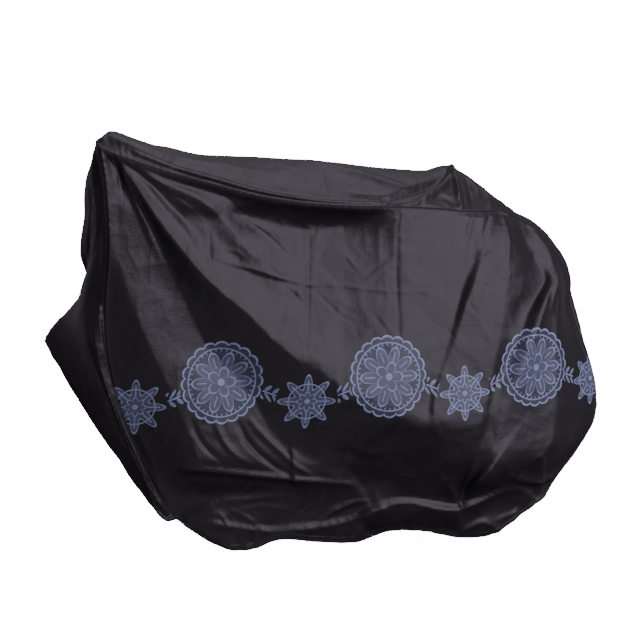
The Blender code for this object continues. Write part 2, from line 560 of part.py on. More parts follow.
def main():
    for old in list(bpy.data.objects):
        bpy.data.objects.remove(old, do_unlink=True)
    near = side_panel(NEAR_TOP, NEAR_HEM, NEAR_FRONT, NEAR_REAR, NEAR_DRAPE, {}, NEAR_FOLDS, -1)
    far = side_panel(FAR_TOP, FAR_HEM, FAR_FRONT, FAR_REAR, [], FAR_BULGE, FAR_FOLDS, 1)
    top = strip(seam(near), seam(far))
    for grid in (near, far, top):
        grid[..., 2] -= UNDERSIDE

    # one numbering for all three grids, in which the strip shares its edge points with the panels
    near_ids = np.arange(near[..., 0].size).reshape(near.shape[:2])
    far_ids = near_ids + near_ids.size
    between = top[:, 1:-1, 0]
    between_ids = np.arange(between.size).reshape(between.shape) + 2 * near_ids.size
    top_ids = np.column_stack([seam(near_ids), between_ids, seam(far_ids)])
    points = np.zeros((top_ids.max() + 1, 3))
    points[top_ids], points[near_ids], points[far_ids] = top, near, far
    pieces = (near_ids, False), (far_ids, True), (top_ids, False)
    faces = np.concatenate([triangles(ids, points, flip) for ids, flip in pieces])
    inside = inner_points(points, faces)

    near_cut, strip_near_cut = trims(seam(near), panel_ring(near), top[:, 1])
    far_cut, strip_far_cut = trims(seam(far), panel_ring(far), top[:, -2])
    layers = {"near": [], "far": [], "strip": []}
    for layer in (points, inside):
        layers["near"].append(cut_panel(layer[near_ids], near_cut))
        layers["far"].append(cut_panel(layer[far_ids], far_cut))
        strip_layer = layer[top_ids]
        strip_layer[:, 0] += strip_near_cut
        strip_layer[:, -1] += strip_far_cut
        layers["strip"].append(strip_layer)

    add_cloth("near_side_panel", *layers["near"], False, CLOTH_COLOUR)
    add_cloth("far_side_panel", *layers["far"], True, CLOTH_COLOUR)
    add_cloth("gusset_strip", *layers["strip"], False, STRIP_COLOUR)


main()
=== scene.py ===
# %% [markdown]
# # A bicycle cover in thin coated nylon
#
# The real cover is three pieces of cloth, cut flat and sewn together: a large panel on each side and one
# long strip between them. It hangs loose, so nothing about it is flat any more. This lesson rebuilds that
# hang as three smooth surfaces, adds the folds one by one, and then makes the cloth, the stitching and the
# printed band out of shader nodes.

# %% Load the fixed model
import bpy
import numpy as np
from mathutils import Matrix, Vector


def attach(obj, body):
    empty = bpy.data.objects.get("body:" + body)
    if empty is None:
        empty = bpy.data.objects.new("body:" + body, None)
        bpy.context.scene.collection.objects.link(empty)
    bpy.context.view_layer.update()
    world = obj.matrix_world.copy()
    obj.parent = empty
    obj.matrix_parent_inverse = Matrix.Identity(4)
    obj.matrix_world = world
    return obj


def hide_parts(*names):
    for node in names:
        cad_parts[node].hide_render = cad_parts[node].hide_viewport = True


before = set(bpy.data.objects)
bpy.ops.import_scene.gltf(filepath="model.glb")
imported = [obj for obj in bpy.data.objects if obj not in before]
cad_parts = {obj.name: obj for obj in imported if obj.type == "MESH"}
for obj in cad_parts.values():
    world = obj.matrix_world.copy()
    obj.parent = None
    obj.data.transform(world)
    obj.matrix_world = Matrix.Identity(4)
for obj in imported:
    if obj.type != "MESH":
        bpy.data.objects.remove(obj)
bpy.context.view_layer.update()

# %% [markdown]
# ## Smooth curves through a few points
#
# A maker marks a curve with a few pins and lets a thin strip of wood find the line between them. `smooth`
# does the same with numbers: a cubic from pin to pin whose slope at each pin is the mean of its neighbours'.
# Everything below is read from such curves, so a fold or an edge is moved by moving one pin.

# %% Curves and steps
def metres(rows):
    """Numbers given in millimetres, as an array in metres."""
    return np.array(rows, float) / 1000


def smooth(knots, values, at):
    """Values at `at`: on each span a cubic that meets both ends and both slopes. The slope at a knot is the
    mean of the slopes of its two spans, each weighted by the length of the other."""
    knots, values = np.asarray(knots, float), np.asarray(values, float)
    span = np.diff(knots)
    across = (-1,) + (1,) * (values.ndim - 1)
    slope = np.diff(values, axis=0) / span.reshape(across)
    before, after = span[:-1].reshape(across), span[1:].reshape(across)
    middle = (slope[:-1] * after + slope[1:] * before) / (before + after)
    slopes = np.concatenate([slope[:1], middle, slope[-1:]])
    i = np.clip(np.searchsorted(knots, at, side="right") - 1, 0, len(span) - 1)
    t = ((np.asarray(at) - knots[i]) / span[i]).reshape(across)
    h = span[i].reshape(across)
    start = values[i] * (1 + 2 * t) * (1 - t) ** 2 + slopes[i] * h * t * (1 - t) ** 2
    end = values[i + 1] * t**2 * (3 - 2 * t) - slopes[i + 1] * h * t**2 * (1 - t)
    return start + end


def walked_length(line):
    """Distance walked along a line of points, from its first."""
    return np.concatenate([[0.0], np.cumsum(np.linalg.norm(np.diff(line, axis=0), axis=1))])


def along(points, at):
    """Points at the fractions `at` of a smooth curve through `points`, by straight distance between them."""
    walked = walked_length(points)
    return smooth(walked / walked[-1], points, at)


def crowded(cells, crowding):
    """Fractions t from 0 to 1 in even steps, moved to t (1 - c) + c t squared: closer together at 0."""
    t = np.linspace(0.0, 1.0, cells + 1)
    return t * (1 - crowding) + t**2 * crowding


def ease(t):
    """3 t squared less 2 t cubed, held at 0 below 0 and at 1 above 1: a soft step."""
    t = np.clip(t, 0.0, 1.0)
    return t * t * (3 - 2 * t)


print("halfway up a soft step:", ease(0.5))

# %% [markdown]
# ## The edges of the cloth
#
# A piece of cloth is known by its edges first. Each side panel has four: the seam along the top, the seams
# down the front and the rear, and the hem. A maker works in millimetres, so every table here does too, in the
# model's own frame: x runs from the low front flap to the rear, y from the near side to the far side, and z
# up. The near front corner stands further forward than the far one, and further out.

# %% The near panel's edges, front to rear or top to bottom: x, y, z
NEAR_TOP = [
    (-1010, -275, 70), (-965, -270, 52), (-870, -255, 20), (-730, -235, -18), (-625, -225, -46),
    (-480, -215, -70), (-345, -205, -80), (-230, -195, -83), (-120, -180, -90), (-15, -160, -100),
    (95, -130, -100),
]
NEAR_FRONT = [
    (-1010, -275, 70), (-1001, -266, 20), (-990, -251, -89), (-987, -237, -176), (-993, -219, -281),
    (-991, -198, -387), (-970, -172, -506), (-932, -150, -618), (-874, -135, -755), (-804, -128, -875),
]
NEAR_REAR = [
    (95, -130, -100), (158, -122, -132), (197, -118, -150), (257, -112, -200), (296, -110, -256),
    (308, -110, -300), (308, -110, -355), (330, -110, -420), (378, -108, -530), (400, -105, -620),
    (396, -100, -695), (355, -100, -755), (283, -105, -838), (245, -108, -900),
]
NEAR_HEM = [
    (-804, -128, -875), (-736, -138, -928), (-671, -147, -961), (-602, -150, -963), (-551, -152, -946),
    (-430, -150, -960), (-319, -146, -970), (-234, -144, -949), (-144, -144, -955), (-19, -144, -984),
    (82, -138, -982), (166, -122, -941), (245, -108, -900),
]
print("pins on the near panel:", sum(map(len, (NEAR_TOP, NEAR_FRONT, NEAR_REAR, NEAR_HEM))))

# %% The far panel's edges: x, y, z
FAR_TOP = [
    (-790, 255, 36), (-740, 248, 20), (-600, 230, -12), (-430, 210, -38), (-250, 190, -54), (-60, 165, -75),
    (95, 135, -95),
]
FAR_FRONT = [
    (-790, 255, 36), (-805, 235, -30), (-840, 195, -150), (-870, 155, -290), (-880, 125, -420),
    (-865, 105, -550), (-820, 95, -680), (-750, 105, -810),
]
FAR_REAR = [
    (95, 135, -95), (205, 122, -155), (283, 114, -260), (310, 110, -390), (362, 110, -530),
    (382, 106, -660), (330, 100, -780), (235, 105, -890),
]
FAR_HEM = [
    (-750, 105, -810), (-670, 130, -880), (-560, 160, -935), (-400, 170, -930), (-240, 170, -955),
    (-80, 165, -940), (80, 145, -965), (170, 120, -930), (235, 105, -890),
]
print("pins on the far panel:", sum(map(len, (FAR_TOP, FAR_FRONT, FAR_REAR, FAR_HEM))))

# %% [markdown]
# ## The large forms between the edges
#
# A sheet stretched over four edges would be flat and dead. The real panels belly outwards, tuck in under the
# strip, and curl in again over the hem. The near side shows every crest and valley, so each is drawn as a
# line of pins from the strip down to the hem, and the cloth runs from one line to the next. The far side is
# plainer, and a table of swell is enough: its rows are places along the panel, its columns places down it,
# and its values millimetres outwards. Smooth curves through the rows, and then through their results, give
# the swell at every point.

# %% The drape of the near panel, front to rear, each line from the top down: x, y, z
NEAR_DRAPE = [
    # crest that turns into the front
    [(-1002, -262, 30), (-976, -238, -150), (-782, -199, -655), (-760, -196, -715), (-744, -176, -765),
     (-726, -150, -825), (-716, -152, -865), (-708, -150, -910)],
    # valley of the fan
    [(-974, -256, 30), (-902, -236, -90), (-776, -199, -340), (-744, -192, -405), (-628, -186, -540),
     (-548, -188, -670), (-448, -186, -745), (-380, -180, -790), (-358, -163, -850), (-354, -155, -890),
     (-344, -152, -945)],
    # crest of the fan
    [(-956, -262, 30), (-832, -249, -150), (-722, -246, -275), (-644, -246, -340), (-582, -246, -405),
     (-512, -246, -470), (-490, -232, -540), (-452, -200, -675), (-346, -177, -795), (-322, -164, -855),
     (-322, -155, -890), (-310, -152, -950)],
    # second
    [(-758, -226, -15), (-672, -211, -65), (-630, -191, -100), (-610, -203, -160), (-574, -221, -285),
     (-508, -239, -410), (-430, -247, -515), (-412, -224, -610), (-360, -186, -750), (-322, -172, -795),
     (-294, -164, -855), (-292, -165, -895), (-282, -144, -950)],
    # tuck
    [(-498, -212, -70), (-480, -170, -140), (-480, -180, -175), (-446, -231, -415), (-420, -245, -485),
     (-410, -248, -540), (-392, -229, -610), (-338, -189, -750), (-298, -172, -800), (-274, -168, -860),
     (-274, -165, -895), (-264, -144, -960)],
    # third
    [(-378, -204, -80), (-366, -168, -130), (-368, -179, -175), (-374, -193, -230), (-376, -203, -290),
     (-388, -237, -480), (-386, -249, -550), (-374, -236, -610), (-326, -191, -750), (-284, -173, -800),
     (-260, -168, -860), (-260, -165, -895), (-248, -144, -965)],
    # fourth
    [(-230, -195, -85), (-230, -192, -170), (-234, -208, -295), (-248, -246, -550), (-246, -252, -610),
     (-234, -230, -685), (-208, -186, -800), (-190, -168, -865), (-192, -165, -890), (-180, -144, -970)],
    # left of the step
    [(-6, -168, -105), (-18, -192, -230), (-42, -198, -285), (-126, -229, -520), (-154, -234, -585),
     (-156, -244, -645), (-140, -232, -690), (-104, -189, -810), (-90, -168, -870), (-90, -165, -900),
     (-76, -144, -970)],
    # right of the step
    [(12, -165, -105), (0, -200, -230), (-48, -218, -335), (-71, -221, -405), (-143, -239, -580),
     (-144, -246, -645), (-122, -234, -690), (-76, -197, -810), (-62, -168, -870), (-64, -165, -900),
     (-54, -144, -970)],
    # rear ridge
    [(100, -131, -110), (92, -172, -175), (90, -190, -240), (58, -211, -340), (6, -232, -590),
     (-12, -234, -655), (-40, -210, -770), (-50, -182, -830), (-48, -168, -870), (-48, -165, -905),
     (-42, -144, -970)],
    # rear valley
    [(148, -124, -130), (161, -139, -180), (197, -145, -246), (210, -153, -286), (172, -170, -341),
     (134, -192, -390), (80, -210, -500), (52, -216, -545), (18, -224, -660), (-20, -208, -775),
     (-30, -168, -845), (-30, -152, -970)],
    # rear lobe crest
    [(178, -122, -150), (191, -134, -180), (219, -148, -250), (224, -167, -285), (192, -193, -335),
     (166, -206, -390), (118, -224, -500), (57, -226, -660), (45, -227, -705), (17, -233, -769),
     (-1, -223, -813), (-20, -180, -850), (-12, -155, -910), (-12, -152, -965)],
    # rear lobe edge
    [(220, -130, -180), (236, -149, -250), (242, -169, -295), (242, -176, -340), (230, -188, -445),
     (219, -198, -690), (206, -200, -744), (70, -190, -833), (24, -164, -870), (22, -155, -910),
     (22, -152, -965)],
]
print("lines of the drape:", len(NEAR_DRAPE))

# %% The swell of the far panel
BULGE_DOWN = (0.00, 0.035, 0.11, 0.25, 0.42, 0.60, 0.76, 0.86, 0.93, 1.00)  # shares of the way down
FAR_BULGE = {  # by share of the way along
    0.00: (0, 0, 0, 0, 0, 0, 0, 0, 0, 0),
    0.10: (0, 2, 6, 12, 14, 12, 14, 12, 4, 0),
    0.30: (0, -18, -4, 16, 26, 30, 44, 52, 10, 0),
    0.52: (0, -26, -6, 20, 40, 48, 60, 62, 12, 0),
    0.72: (0, -4, 8, 26, 44, 56, 60, 52, 18, 0),
    0.90: (0, 3, 12, 24, 32, 38, 38, 28, 12, 0),
    1.00: (0, 0, 0, 0, 0, 0, 0, 0, 0, 0),
}
print("rows of swell:", len(FAR_BULGE))

# %% [markdown]
# ## Folds as paths
#
# Every fold is drawn as a path on the panel, seen from the near side, with a half width on each side
# of it and a height along it. *Left* and *right* are those of someone who walks along the path in that view.
# A fold whose two half widths differ is steep on one side, which is what makes one flank dark and the other
# light. Heights below zero are troughs. `crisp` runs from 0, a round swell, to 1, a pinched crease.

# %% The folds of the near panel
# The path as x, z. The half widths: left and right at the start, left and right at the end. The heights at
# the start, the middle and the end. Last comes `crisp`.
NEAR_FOLDS = [
    # the fan that hangs from the high front corner
    ([(-979, 64), (-965, 28), (-957, -15), (-949, -58)], (12, 8, 14, 12), (-2, -4, 0), 0.3),
    ([(-968, 38), (-945, -10), (-924, -54), (-902, -100), (-879, -151), (-863, -191)],
      (12, 10, 18, 16), (2, 4.5, 1), 0.4),
    ([(-966, 52), (-922, 18), (-877, -20), (-837, -64), (-791, -107), (-757, -154), (-732, -198)],
      (10, 10, 40, 36), (-2, -8, -3), 0.2),
    ([(-947, 42), (-887, 1), (-826, -26), (-759, -56), (-704, -92), (-667, -123)],
      (10, 12, 34, 30), (2, 5.5, 1), 0.3),
    # creases and ridges of the middle
    ([(-816, -31), (-756, -64), (-704, -107), (-657, -160), (-603, -211), (-542, -268)],
      (50, 34, 110, 54), (1.5, 14, 5), 0.2),
    ([(-727, -198), (-626, -232), (-557, -255), (-476, -275)], (26, 10, 22, 8), (1, 4.5, 2), 0.8),
    ([(-476, -275), (-403, -278), (-302, -294), (-187, -302), (-107, -305)],
      (12, 8, 12, 8), (1.6, 2.2, 0.4), 0.9),
    ([(-243, -209), (-299, -243), (-330, -267)], (10, 12, 8, 10), (-1, -3.5, -0.4), 0.8),
    # small folds under the rear peak
    ([(-9, -111), (-32, -173), (-43, -204)], (10, 12, 10, 12), (-3, -4, 0), 0.6),
    ([(42, -115), (13, -174), (-2, -215)], (10, 12, 10, 12), (-3, -4, -1), 0.6),
    ([(59, -204), (17, -215), (-13, -228)], (10, 12, 8, 10), (-1, -4, -2), 0.7),
    ([(94, -120), (93, -166), (85, -223), (80, -280)], (10, 12, 10, 14), (3, 4.5, 2), 0.9),
    ([(56, -331), (44, -383), (34, -445), (27, -471)], (8, 12, 8, 12), (-1, -4, -1), 0.8),
    # the rear falls
    ([(205, -323), (173, -389), (138, -456), (119, -524)], (14, 85, 12, 60), (2, 10, 3), 0.4),
    ([(264, -248), (233, -308), (212, -371)], (8, 12, 10, 14), (1, 6, 1), 0.7),
    # lobes between the printed band and the shelf
    ([(-778, -605), (-763, -647), (-737, -684), (-700, -718)], (12, 14, 10, 12), (-1, -5, -1), 0.5),
    ([(-721, -609), (-700, -661), (-664, -705), (-620, -735)], (20, 12, 16, 10), (1, 4, 1), 0.5),
    ([(-655, -624), (-632, -669), (-600, -705), (-556, -742), (-523, -761)],
      (14, 18, 10, 12), (-2, -8, -3), 0.4),
    ([(-625, -616), (-589, -659), (-546, -701), (-514, -735), (-464, -768)],
      (14, 16, 10, 12), (2, 6, 2), 0.5),
    # the shelf, the low ridge under it, and the ridge above the drawn-in hem
    ([(-795, -728), (-720, -739), (-645, -753), (-571, -766), (-511, -776), (-435, -789), (-352, -804)],
      (12, 22, 10, 16), (4, 10, 3), 0.8),
    ([(-776, -868), (-737, -847), (-701, -831), (-617, -826), (-533, -823)],
      (14, 30, 10, 30), (3, 6, 2), 0.8),
    ([(-781, -874), (-712, -885), (-638, -902), (-563, -916), (-498, -916), (-422, -914), (-372, -909),
      (-333, -899), (-303, -886), (-265, -874)], (13, 40, 12, 50), (5, 8, 6), 0.8),
    ([(-303, -883), (-254, -867), (-192, -863), (-123, -879), (-40, -895), (24, -872), (83, -857),
      (137, -853), (194, -884)], (12, 75, 12, 60), (5, 13, 6), 0.7),
    ([(-422, -900), (-398, -880), (-371, -868), (-339, -856), (-304, -856)],
      (10, 12, 10, 12), (2, 8, 2), 0.8),
    ([(245, -759), (176, -780), (128, -810), (76, -846), (6, -877)], (14, 14, 10, 10), (-2, -9, -4), 0.6),
    ([(104, -819), (166, -839), (223, -849), (279, -845)], (34, 10, 30, 10), (5, 14, 4), 0.8),
    ([(76, -705), (35, -749), (-3, -803), (-24, -871)], (100, 12, 40, 10), (4, 10, 2), 0.7),
    ([(-108, -790), (-66, -840), (-36, -890)], (12, 50, 10, 40), (1, 6, 2), 0.6),
    ([(183, -748), (213, -798), (230, -847)], (12, 50, 10, 60), (1, 6, 5), 0.7),
    ([(-21, -969), (6, -951), (36, -943), (69, -958), (97, -982)], (12, 14, 12, 14), (2, 6, 2), 0.8),
]
print("folds drawn on the near panel:", len(NEAR_FOLDS))

# %% The folds of the far panel
FAR_FOLDS = [
    ([(-745, 0), (-640, -140), (-500, -320), (-350, -480)], (16, 18, 110, 90), (6, 28, 16), 0.4),
    ([(-770, 0), (-720, -160), (-650, -340), (-560, -520)], (14, 14, 70, 70), (-4, -22, -12), 0.2),
    ([(-700, -20), (-590, -120), (-480, -230)], (12, 14, 50, 50), (-4, -10, -1), 0.3),
    ([(-800, -80), (-770, -300), (-720, -560)], (14, 14, 50, 50), (4, 14, 3), 0.3),
    ([(0, -120), (-50, -320), (-140, -600)], (16, 50, 14, 60), (5, 13, 3), 0.5),
    ([(190, -260), (150, -420), (90, -620)], (36, 26, 50, 40), (3, 13, 3), 0.5),
    ([(-620, -620), (-580, -690), (-500, -760)], (34, 40, 34, 40), (2, 15, 8), 0.4),
    ([(-300, -600), (-280, -690), (-220, -780)], (34, 40, 34, 40), (2, 15, 8), 0.4),
    ([(60, -640), (20, -740), (-40, -850)], (40, 30, 30, 26), (3, 14, 6), 0.5),
    ([(-720, -820), (-600, -872), (-460, -868), (-330, -892), (-200, -878), (-60, -868), (50, -880),
      (140, -850)], (24, 28, 22, 24), (8, 20, 8), 0.8),
]
print("folds drawn on the far panel:", len(FAR_FOLDS))

# %% [markdown]
# ## Packing creases
#
# The cover was folded small in its bag, and the coating remembers it: thin straight lines, a hand's breadth
# or two apart, that the hang has not pulled out. Each is the same kind of row as a fold, only low and about
# a finger wide.

# %% The packing creases
NEAR_CREASES = [
    ([(-734, -140), (-735, -198), (-745, -251)], (10, 10, 10, 10), (-1, -1.8, 0), 1),
    ([(-460, -149), (-468, -209), (-476, -278), (-482, -362), (-490, -423), (-492, -476)],
      (9, 10, 9, 10), (-1.2, -2.6, -0.8), 1),
    ([(-227, -91), (-229, -168), (-236, -270), (-235, -372), (-239, -448), (-248, -514)],
      (9, 11, 9, 11), (-2.4, -3.2, -1.2), 1),
    ([(-471, -283), (-440, -309), (-381, -362), (-328, -384)], (9, 9, 9, 9), (-0.6, -2.2, 0), 1),
    ([(-237, -239), (-292, -263), (-320, -275)], (8, 8, 8, 8), (-0.4, -2, 0), 0.9),
    ([(-307, -349), (-270, -401), (-252, -432)], (9, 9, 9, 9), (-0.2, -1.8, 0), 1),
    ([(-303, -410), (-275, -446), (-249, -483)], (9, 9, 9, 9), (-0.2, -1.4, 0), 1),
    ([(-9, -258), (32, -270), (71, -282)], (8, 8, 8, 8), (0, -1.8, -0.4), 0.9),
    ([(-5, -282), (24, -296), (54, -302)], (8, 8, 8, 8), (0, -1.4, -0.2), 0.9),
    ([(-44, -327), (-28, -348), (-8, -373)], (7, 8, 7, 8), (0, -2.2, 0), 0.9),
    ([(82, -322), (128, -331), (176, -334)], (8, 8, 8, 8), (-0.8, -1.4, 0), 0.9),
    ([(83, -277), (121, -272), (168, -262)], (8, 8, 8, 8), (-0.6, -1.4, 0), 0.9),
    ([(128, -568), (182, -576), (229, -585)], (9, 9, 9, 9), (0.2, 1.6, 0.2), 1),
    ([(-686, -147), (-639, -173), (-598, -213)], (10, 10, 10, 10), (0.2, -1.8, 0), 0.8),
    ([(-639, -109), (-593, -140), (-546, -181), (-510, -217)], (10, 10, 10, 10), (0.4, 2, 0.2), 0.8),
    ([(-704, -180), (-667, -186), (-636, -212)], (9, 9, 9, 9), (0.2, 1.6, 0.2), 0.8),
    ([(-598, -213), (-578, -244), (-570, -288)], (9, 9, 9, 9), (0.2, -1.4, 0), 0.8),
    ([(-83, -156), (-79, -187), (-69, -218)], (8, 8, 8, 8), (-0.4, -1.6, 0), 0.8),
    ([(-384, -196), (-354, -221), (-334, -252)], (10, 10, 10, 10), (0, 1.4, 0), 0.8),
    ([(-517, -690), (-514, -732), (-509, -773)], (60, 8, 100, 8), (1, 5.5, 6), 0.7),
    ([(-111, -801), (-84, -808), (-47, -812)], (8, 8, 8, 8), (0.2, 2, 0.4), 1),
    ([(62, -948), (108, -938), (155, -927)], (8, 10, 8, 10), (0.4, 3.6, 1), 0.9),
    ([(-675, -849), (-617, -885), (-584, -909)], (12, 12, 12, 12), (0.4, 3, 1), 0.8),
    ([(-377, -713), (-344, -760), (-312, -802)], (16, 16, 14, 14), (0.6, 3.6, 0.6), 0.5),
    ([(-358, -696), (-309, -715), (-256, -717)], (18, 20, 18, 20), (0.4, 3, 0.2), 0.5),
    ([(-665, -860), (-585, -850), (-510, -866)], (12, 12, 12, 12), (0.4, 2.6, 0.4), 0.7),
    ([(-706, -857), (-680, -885), (-675, -912)], (10, 10, 10, 10), (0.4, 2.6, 1), 0.8),
]
print("packing creases on the near panel:", len(NEAR_CREASES))

# %% [markdown]
# ## From paths to heights
#
# For every point of a panel the nearest place on a path is found, run by run. The cross product says on which
# side of the path the point lies, and so which half width counts. The height there is the height of the path
# times a section that is 1 on the path and 0 one half width away.

# %% Distance from a path, and the height of the folds
RUNS = 20  # straight runs that stand for one path


def nearest(x, z, path):
    """Distance to the path, share of the path walked at the nearest place, and whether the point lies on the
    right. For each run from a to b the nearest place is a + t (b - a), t held between 0 and 1."""
    line = along(path, np.linspace(0.0, 1.0, RUNS + 1))
    best = np.full(x.shape, np.inf)
    walked, right = np.zeros(x.shape), np.zeros(x.shape, bool)
    for k in range(RUNS):
        (ax, az), (rx, rz) = line[k], line[k + 1] - line[k]
        t = np.clip(((x - ax) * rx + (z - az) * rz) / (rx * rx + rz * rz), 0.0, 1.0)
        dx, dz = x - ax - t * rx, z - az - t * rz
        distance = np.hypot(dx, dz)
        closer = distance < best
        best = np.where(closer, distance, best)
        walked = np.where(closer, (k + t) / RUNS, walked)
        right = np.where(closer, dx * rz - dz * rx > 0, right)
    return best, walked, right


def fold_height(x, z, rows):
    """Sum over the folds of height times section, with n = 1 - distance / half width held above 0. The
    section is 3 n squared - 2 n cubed for a round fold and n squared for a crisp one, mixed by `crisp`."""
    total = np.zeros_like(x)
    for path, half_widths, heights, crisp in rows:
        distance, walked, right = nearest(x, z, metres(path))
        left0, right0, left1, right1 = metres(half_widths)
        half = np.where(right, right0 + (right1 - right0) * walked, left0 + (left1 - left0) * walked)
        n = np.clip(1 - distance / half, 0.0, 1.0)
        section = ease(n) * (1 - crisp) + n**2 * crisp
        height = smooth((0.0, 0.5, 1.0), metres(heights), walked.ravel()).reshape(walked.shape)
        total += height * section
    return total


round_fold = ([(-100, 0), (0, 0), (100, 0)], (20, 20, 20, 20), (9, 9, 9), 0)
aside = fold_height(np.array([[0.0]]), np.array([[0.01]]), [round_fold])[0, 0]
print("a round fold 9 mm high, half its half width away:", round(aside * 1000, 1), "mm")

# %% [markdown]
# ## Crumples too many to draw
#
# Between the drawn folds the cloth is never quite smooth. Random heights on a square lattice, eased from one
# to the next, give soft hills. One minus the size of such hills, cubed, has a sharp line wherever they change
# sign, and crushed coated cloth shows such lines. The random numbers are seeded, so every run is the same.

# %% Hills and crumples
LATTICE = 64  # random heights each way, before they repeat


def hills(u, v, seed):
    """Random heights from -1 to 1 at whole numbers, eased between the four around each point."""
    heights = np.random.default_rng(seed).uniform(-1.0, 1.0, (LATTICE, LATTICE))
    i, j = np.floor(u).astype(int), np.floor(v).astype(int)
    a, b = ease(u - i), ease(v - j)
    corner = {(p, q): heights[(i + p) % LATTICE, (j + q) % LATTICE] for p in (0, 1) for q in (0, 1)}
    low = corner[0, 0] * (1 - a) + corner[1, 0] * a
    high = corner[0, 1] * (1 - a) + corner[1, 1] * a
    return low * (1 - b) + high * b


def crumples(u, v, spacing, seed):
    """Sum over three sizes, each half the last, of (1 - |hills|) cubed on a lattice that other hills bend."""
    total = np.zeros_like(u)
    for k in range(3):
        step, size = spacing / 2**k, 0.5**k
        bend = 0.8 * hills(u / step / 2, v / step / 2, seed + 10 + k)
        total += size * (1 - np.abs(hills(u / step + bend, v / step - bend, seed + k))) ** 3
    return total - total.mean()


square = np.meshgrid(np.linspace(0, 1, 50), np.linspace(0, 1, 50))
sample = crumples(*square, 0.1, 1)
print("crumples run from", sample.min().round(2), "to", sample.max().round(2))

# %% [markdown]
# ## A panel from its edges
#
# A patch fills four curves with a surface: blend the top into the hem, blend the front into the rear, add the
# two, and take away the blend of the corners, which was counted twice. The lines of the drape then set how
# far out the near panel stands, and the swell does so for the far one. Folds and crumples move each point
# along the surface's own normal. They die out at a seam, because the stitches hold it.

# %% The side panels
COLUMNS, ROWS = 260, 184  # cells along a panel and down it
FRONT_CROWDING, TOP_CROWDING = 0.35, 0.45  # the folds are finest towards the high front corner
EDGE_REACH = 0.030  # the drape grows out of the sewn edge over this distance
ROUNDING, CLOSEST = 0.45, 0.002  # how soft a line's crease is, and the least run between two lines
SEAM_HOLD = 0.026  # a fold grows from nothing over this distance from a seam
PUCKER_RUN, PUCKER_HEIGHT, PUCKER_REACH = 0.019, 0.0007, 0.014  # the small ripples that the stitches pull up
GATHER_RUN, GATHER_HEIGHT, GATHER_REACH = 0.047, 0.0030, 0.060  # and the larger ones of the elastic hem
CRUMPLE_SPACING, CRUMPLE_HEIGHT = 0.085, 0.0014  # the largest crumples
UNDERSIDE = 0.0105  # the tables count heights from this far below the model's origin


def patch(top, hem, front, rear, us, vs):
    """(1 - v) top + v hem + (1 - u) front + u rear - the same blend of the four corners."""
    t, h, f, r = along(top, us), along(hem, us), along(front, vs), along(rear, vs)
    u, v = us[None, :, None], vs[:, None, None]
    corners = (1 - v) * ((1 - u) * t[0] + u * t[-1]) + v * ((1 - u) * h[0] + u * h[-1])
    return (1 - v) * t[None] + v * h[None] + (1 - u) * f[:, None] + u * r[:, None] - corners


def outward(grid, side):
    """Cross product of the grid's two steps, made one long and turned by -side, so that it points out of the
    cover: side is 1 for the far panel, and -1 for the near one and for the strip."""
    normals = np.cross(np.gradient(grid, axis=0), np.gradient(grid, axis=1))
    return normals * (-side / np.linalg.norm(normals, axis=2, keepdims=True))


def ripples(run, distance, spacing, height, reach, seed):
    """Height times a sine along the edge, its step and strength wandering, that fades over `reach`."""
    wander = hills(run / spacing / 2, distance * 0, seed)
    strength = 0.5 + 0.5 * hills(run / spacing / 2.3, distance / reach / 2, seed + 1)
    wave = np.sin(2 * np.pi * run / spacing + 4.0 * wander)
    return height * wave * strength * (1 - ease(distance / reach))


def draped(x, z, lines):
    """Depth y at each place. Every line has its own x and y at that height; between two neighbouring lines
    the depth runs straight, a little eased at both, so each line is a soft crease."""
    pins = []
    for line in lines:
        heights = np.clip(z.ravel(), line[-1, 2], line[0, 2])
        pins.append(smooth(-line[:, 2], line[:, :2], -heights).reshape(*z.shape, 2))
    depth = pins[0][..., 1].copy()
    start = pins[0][..., 0]
    for before, after in zip(pins, pins[1:]):
        end = np.maximum(after[..., 0], start + CLOSEST)
        t = np.clip((x - start) / (end - start), 0.0, 1.0)
        depth += (after[..., 1] - before[..., 1]) * (t * (1 - ROUNDING) + ease(t) * ROUNDING)
        start = end
    return depth


